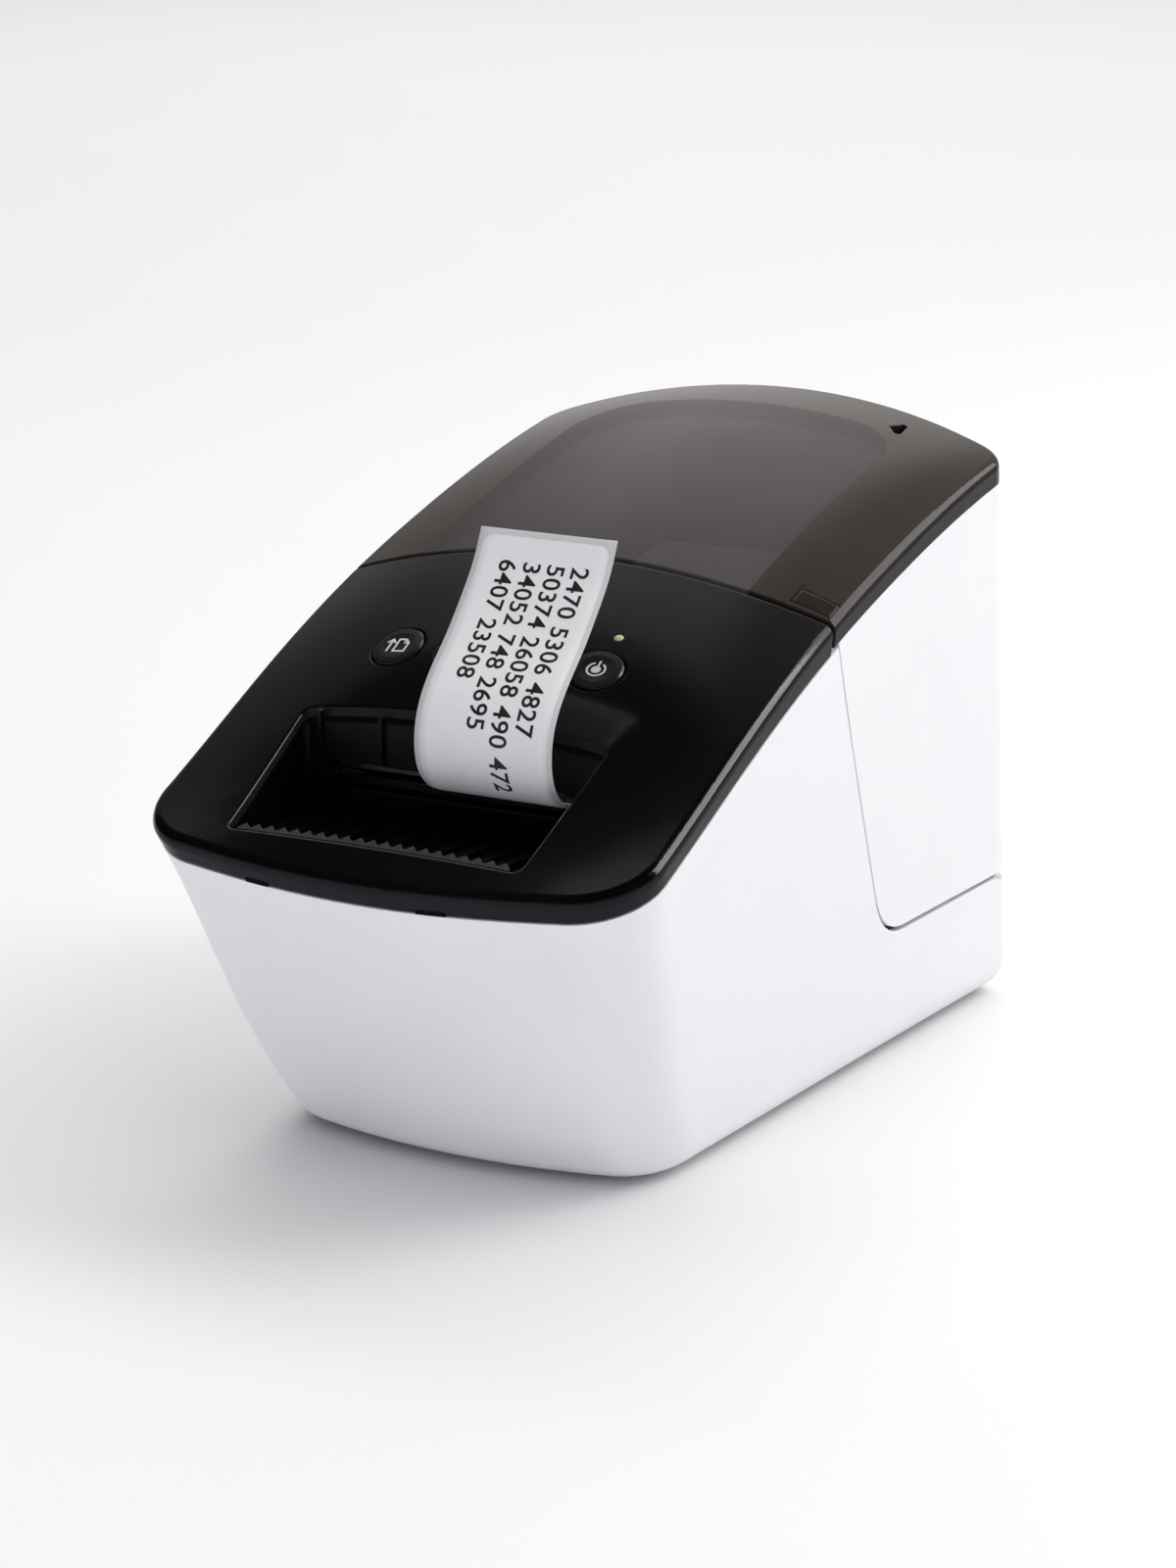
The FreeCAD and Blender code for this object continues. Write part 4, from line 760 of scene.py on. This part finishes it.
bm = bmesh.new()
LINES = [("2470 5306 4827", 22.2), ("50374 26058 490 472", 16.1), ("34052 748 2695", 10.0), ("6407 23508", 3.9)]
for body, x_base in LINES:
    me = text_mesh(body, 6.2)
    part = bmesh.new()
    part.from_mesh(me)
    bpy.data.meshes.remove(me)
    bmesh.ops.remove_doubles(part, verts=part.verts, dist=1e-5)
    long = [e for e in part.edges if (e.verts[0].co - e.verts[1].co).length > 0.9]
    bmesh.ops.subdivide_edges(part, edges=long, cuts=2)
    bmesh.ops.triangulate(part, faces=part.faces)
    for v in part.verts:
        u, t, w = v.co
        v.co = on_label(s_top - 5.4 - u, x_base + t - 2.2, 0.10 + w + 0.006)
    tmp = bpy.data.meshes.new("print_tmp")
    part.to_mesh(tmp)
    part.free()
    bm.from_mesh(tmp)
    bpy.data.meshes.remove(tmp)
add_mesh("label_print", bm, "ink", "base")


# ------------------------------------------------------------------ floor, light, camera

bm = bmesh.new()
N = 24
grid = [[bm.verts.new((-14 + 28 * i / N, -8 + 30 * j / N, 0.0)) for j in range(N + 1)] for i in range(N + 1)]
for i in range(N):
    for j in range(N):
        bm.faces.new((grid[i][j], grid[i + 1][j], grid[i + 1][j + 1], grid[i][j + 1]))
me = bpy.data.meshes.new("studio_floor")
bm.to_mesh(me)
bm.free()
floor = bpy.data.objects.new("studio_floor", me)
scene.collection.objects.link(floor)
s = Shader("studio_floor_pale")
s.colour(s.ramp(s.noise(1.5, 3.0), [(0.3, (0.86, 0.86, 0.865)), (0.7, (0.875, 0.875, 0.88))]))
s.set(rough=0.75, spec=0.2)
me.materials.append(s.m)

world = bpy.data.worlds.new("studio_world")
scene.world = world
world.use_nodes = True
wt = world.node_tree
bg = wt.nodes["Background"]
tc = wt.nodes.new("ShaderNodeTexCoord")
sep = wt.nodes.new("ShaderNodeSeparateXYZ")
ramp = wt.nodes.new("ShaderNodeValToRGB")
wt.links.new(tc.outputs["Generated"], sep.inputs["Vector"])
wt.links.new(sep.outputs["Z"], ramp.inputs["Fac"])
els = ramp.color_ramp.elements
els[0].position, els[0].color = 0.0, (0.60, 0.580, 0.573, 1)
els[1].position, els[1].color = 1.0, (0.045, 0.044, 0.043, 1)
for p, c in ((0.24, 0.60), (0.44, 0.73), (0.66, 0.76), (0.85, 0.75), (0.92, 0.70), (0.955, 0.24)):
    e = els.new(p)
    e.color = (c, c * 0.965, c * 0.955, 1)


def fade(source, x0, x1, y0, y1):
    n = wt.nodes.new("ShaderNodeMapRange")
    n.interpolation_type = "SMOOTHSTEP"
    for key, v in (("From Min", x0), ("From Max", x1), ("To Min", y0), ("To Max", y1)):
        n.inputs[key].default_value = v
    wt.links.new(source, n.inputs["Value"])
    return n.outputs["Result"]


def times(colour, factor):
    n = wt.nodes.new("ShaderNodeVectorMath")
    n.operation = "SCALE"
    wt.links.new(colour, n.inputs[0])
    wt.links.new(factor, n.inputs["Scale"])
    return n.outputs["Vector"]


lit = times(ramp.outputs["Color"], fade(sep.outputs["Y"], 0.275, 0.345, 0.10, 1.0))
lit = times(lit, fade(sep.outputs["Y"], 0.30, 0.75, 0.45, 1.0))
lit = times(lit, fade(sep.outputs["X"], -0.21, -0.08, 1.0, 0.42))
lit = times(lit, fade(sep.outputs["X"], -0.68, -0.47, 0.32, 1.0))
wt.links.new(lit, bg.inputs["Color"])
bg.inputs["Strength"].default_value = 1.0


def area(name, loc, target, size, power, colour=(1, 1, 1), mirrored=True):
    li = bpy.data.lights.new(name, "AREA")
    li.shape = "RECTANGLE"
    li.size, li.size_y = size
    li.energy = power
    li.color = colour
    ob = bpy.data.objects.new(name, li)
    scene.collection.objects.link(ob)
    ob.location = loc
    ob.rotation_mode = "QUATERNION"
    ob.rotation_quaternion = (Vector(target) - Vector(loc)).to_track_quat("-Z", "Y")
    ob.visible_glossy = mirrored
    ob.visible_camera = False
    return ob


area("soft_top", (0.0, 0.6, 3.0), (0, 0.6, 0), (5.0, 5.0), 102.0, (1, 1, 1), False)
area("soft_back", (-1.7, 3.6, 2.6), (-1.7, 3.6, 0), (4.0, 4.0), 70.0, (1, 1, 1), False)
area("key_right", (1.05, 0.62, 1.0), (0, 0, 0.08), (0.55, 1.1), 7.6)
area("fill_right", (1.5, -0.25, 0.40), (0, 0, 0.06), (1.2, 0.8), 4.4, (1, 1, 1), False)
area("fill_front", (-0.35, -1.6, 0.17), (0, 0, 0.07), (1.6, 0.30), 8.3, (0.905, 0.935, 1.0), False)
area("key_rear", (0.66, 0.95, 0.98), (0, 0.02, 0.12), (0.70, 1.1), 3.6)

cam = bpy.data.cameras.new("photo_camera")
cam.sensor_width = 36.0
cam.lens = 3949.3 / 1600 * 36
cam.shift_x, cam.shift_y = -0.00125, 0.00125
cam.clip_start, cam.clip_end = 0.02, 60
camera = bpy.data.objects.new("photo_camera", cam)
scene.collection.objects.link(camera)
az, el, roll = (math.radians(v) for v in (28.87, 15.60, -0.14))
back = Vector((math.sin(az) * math.cos(el), -math.cos(az) * math.cos(el), math.sin(el)))
right = Vector((math.cos(az), math.sin(az), 0))
up = back.cross(right)
r2 = right * math.cos(roll) + up * math.sin(roll)
u2 = up * math.cos(roll) - right * math.sin(roll)
m = Matrix((r2, u2, back)).transposed().to_4x4()
m.translation = Vector((0.42627, -0.77883, 0.31957))
camera.matrix_world = m
scene.camera = camera
scene.view_settings.view_transform = "Standard"
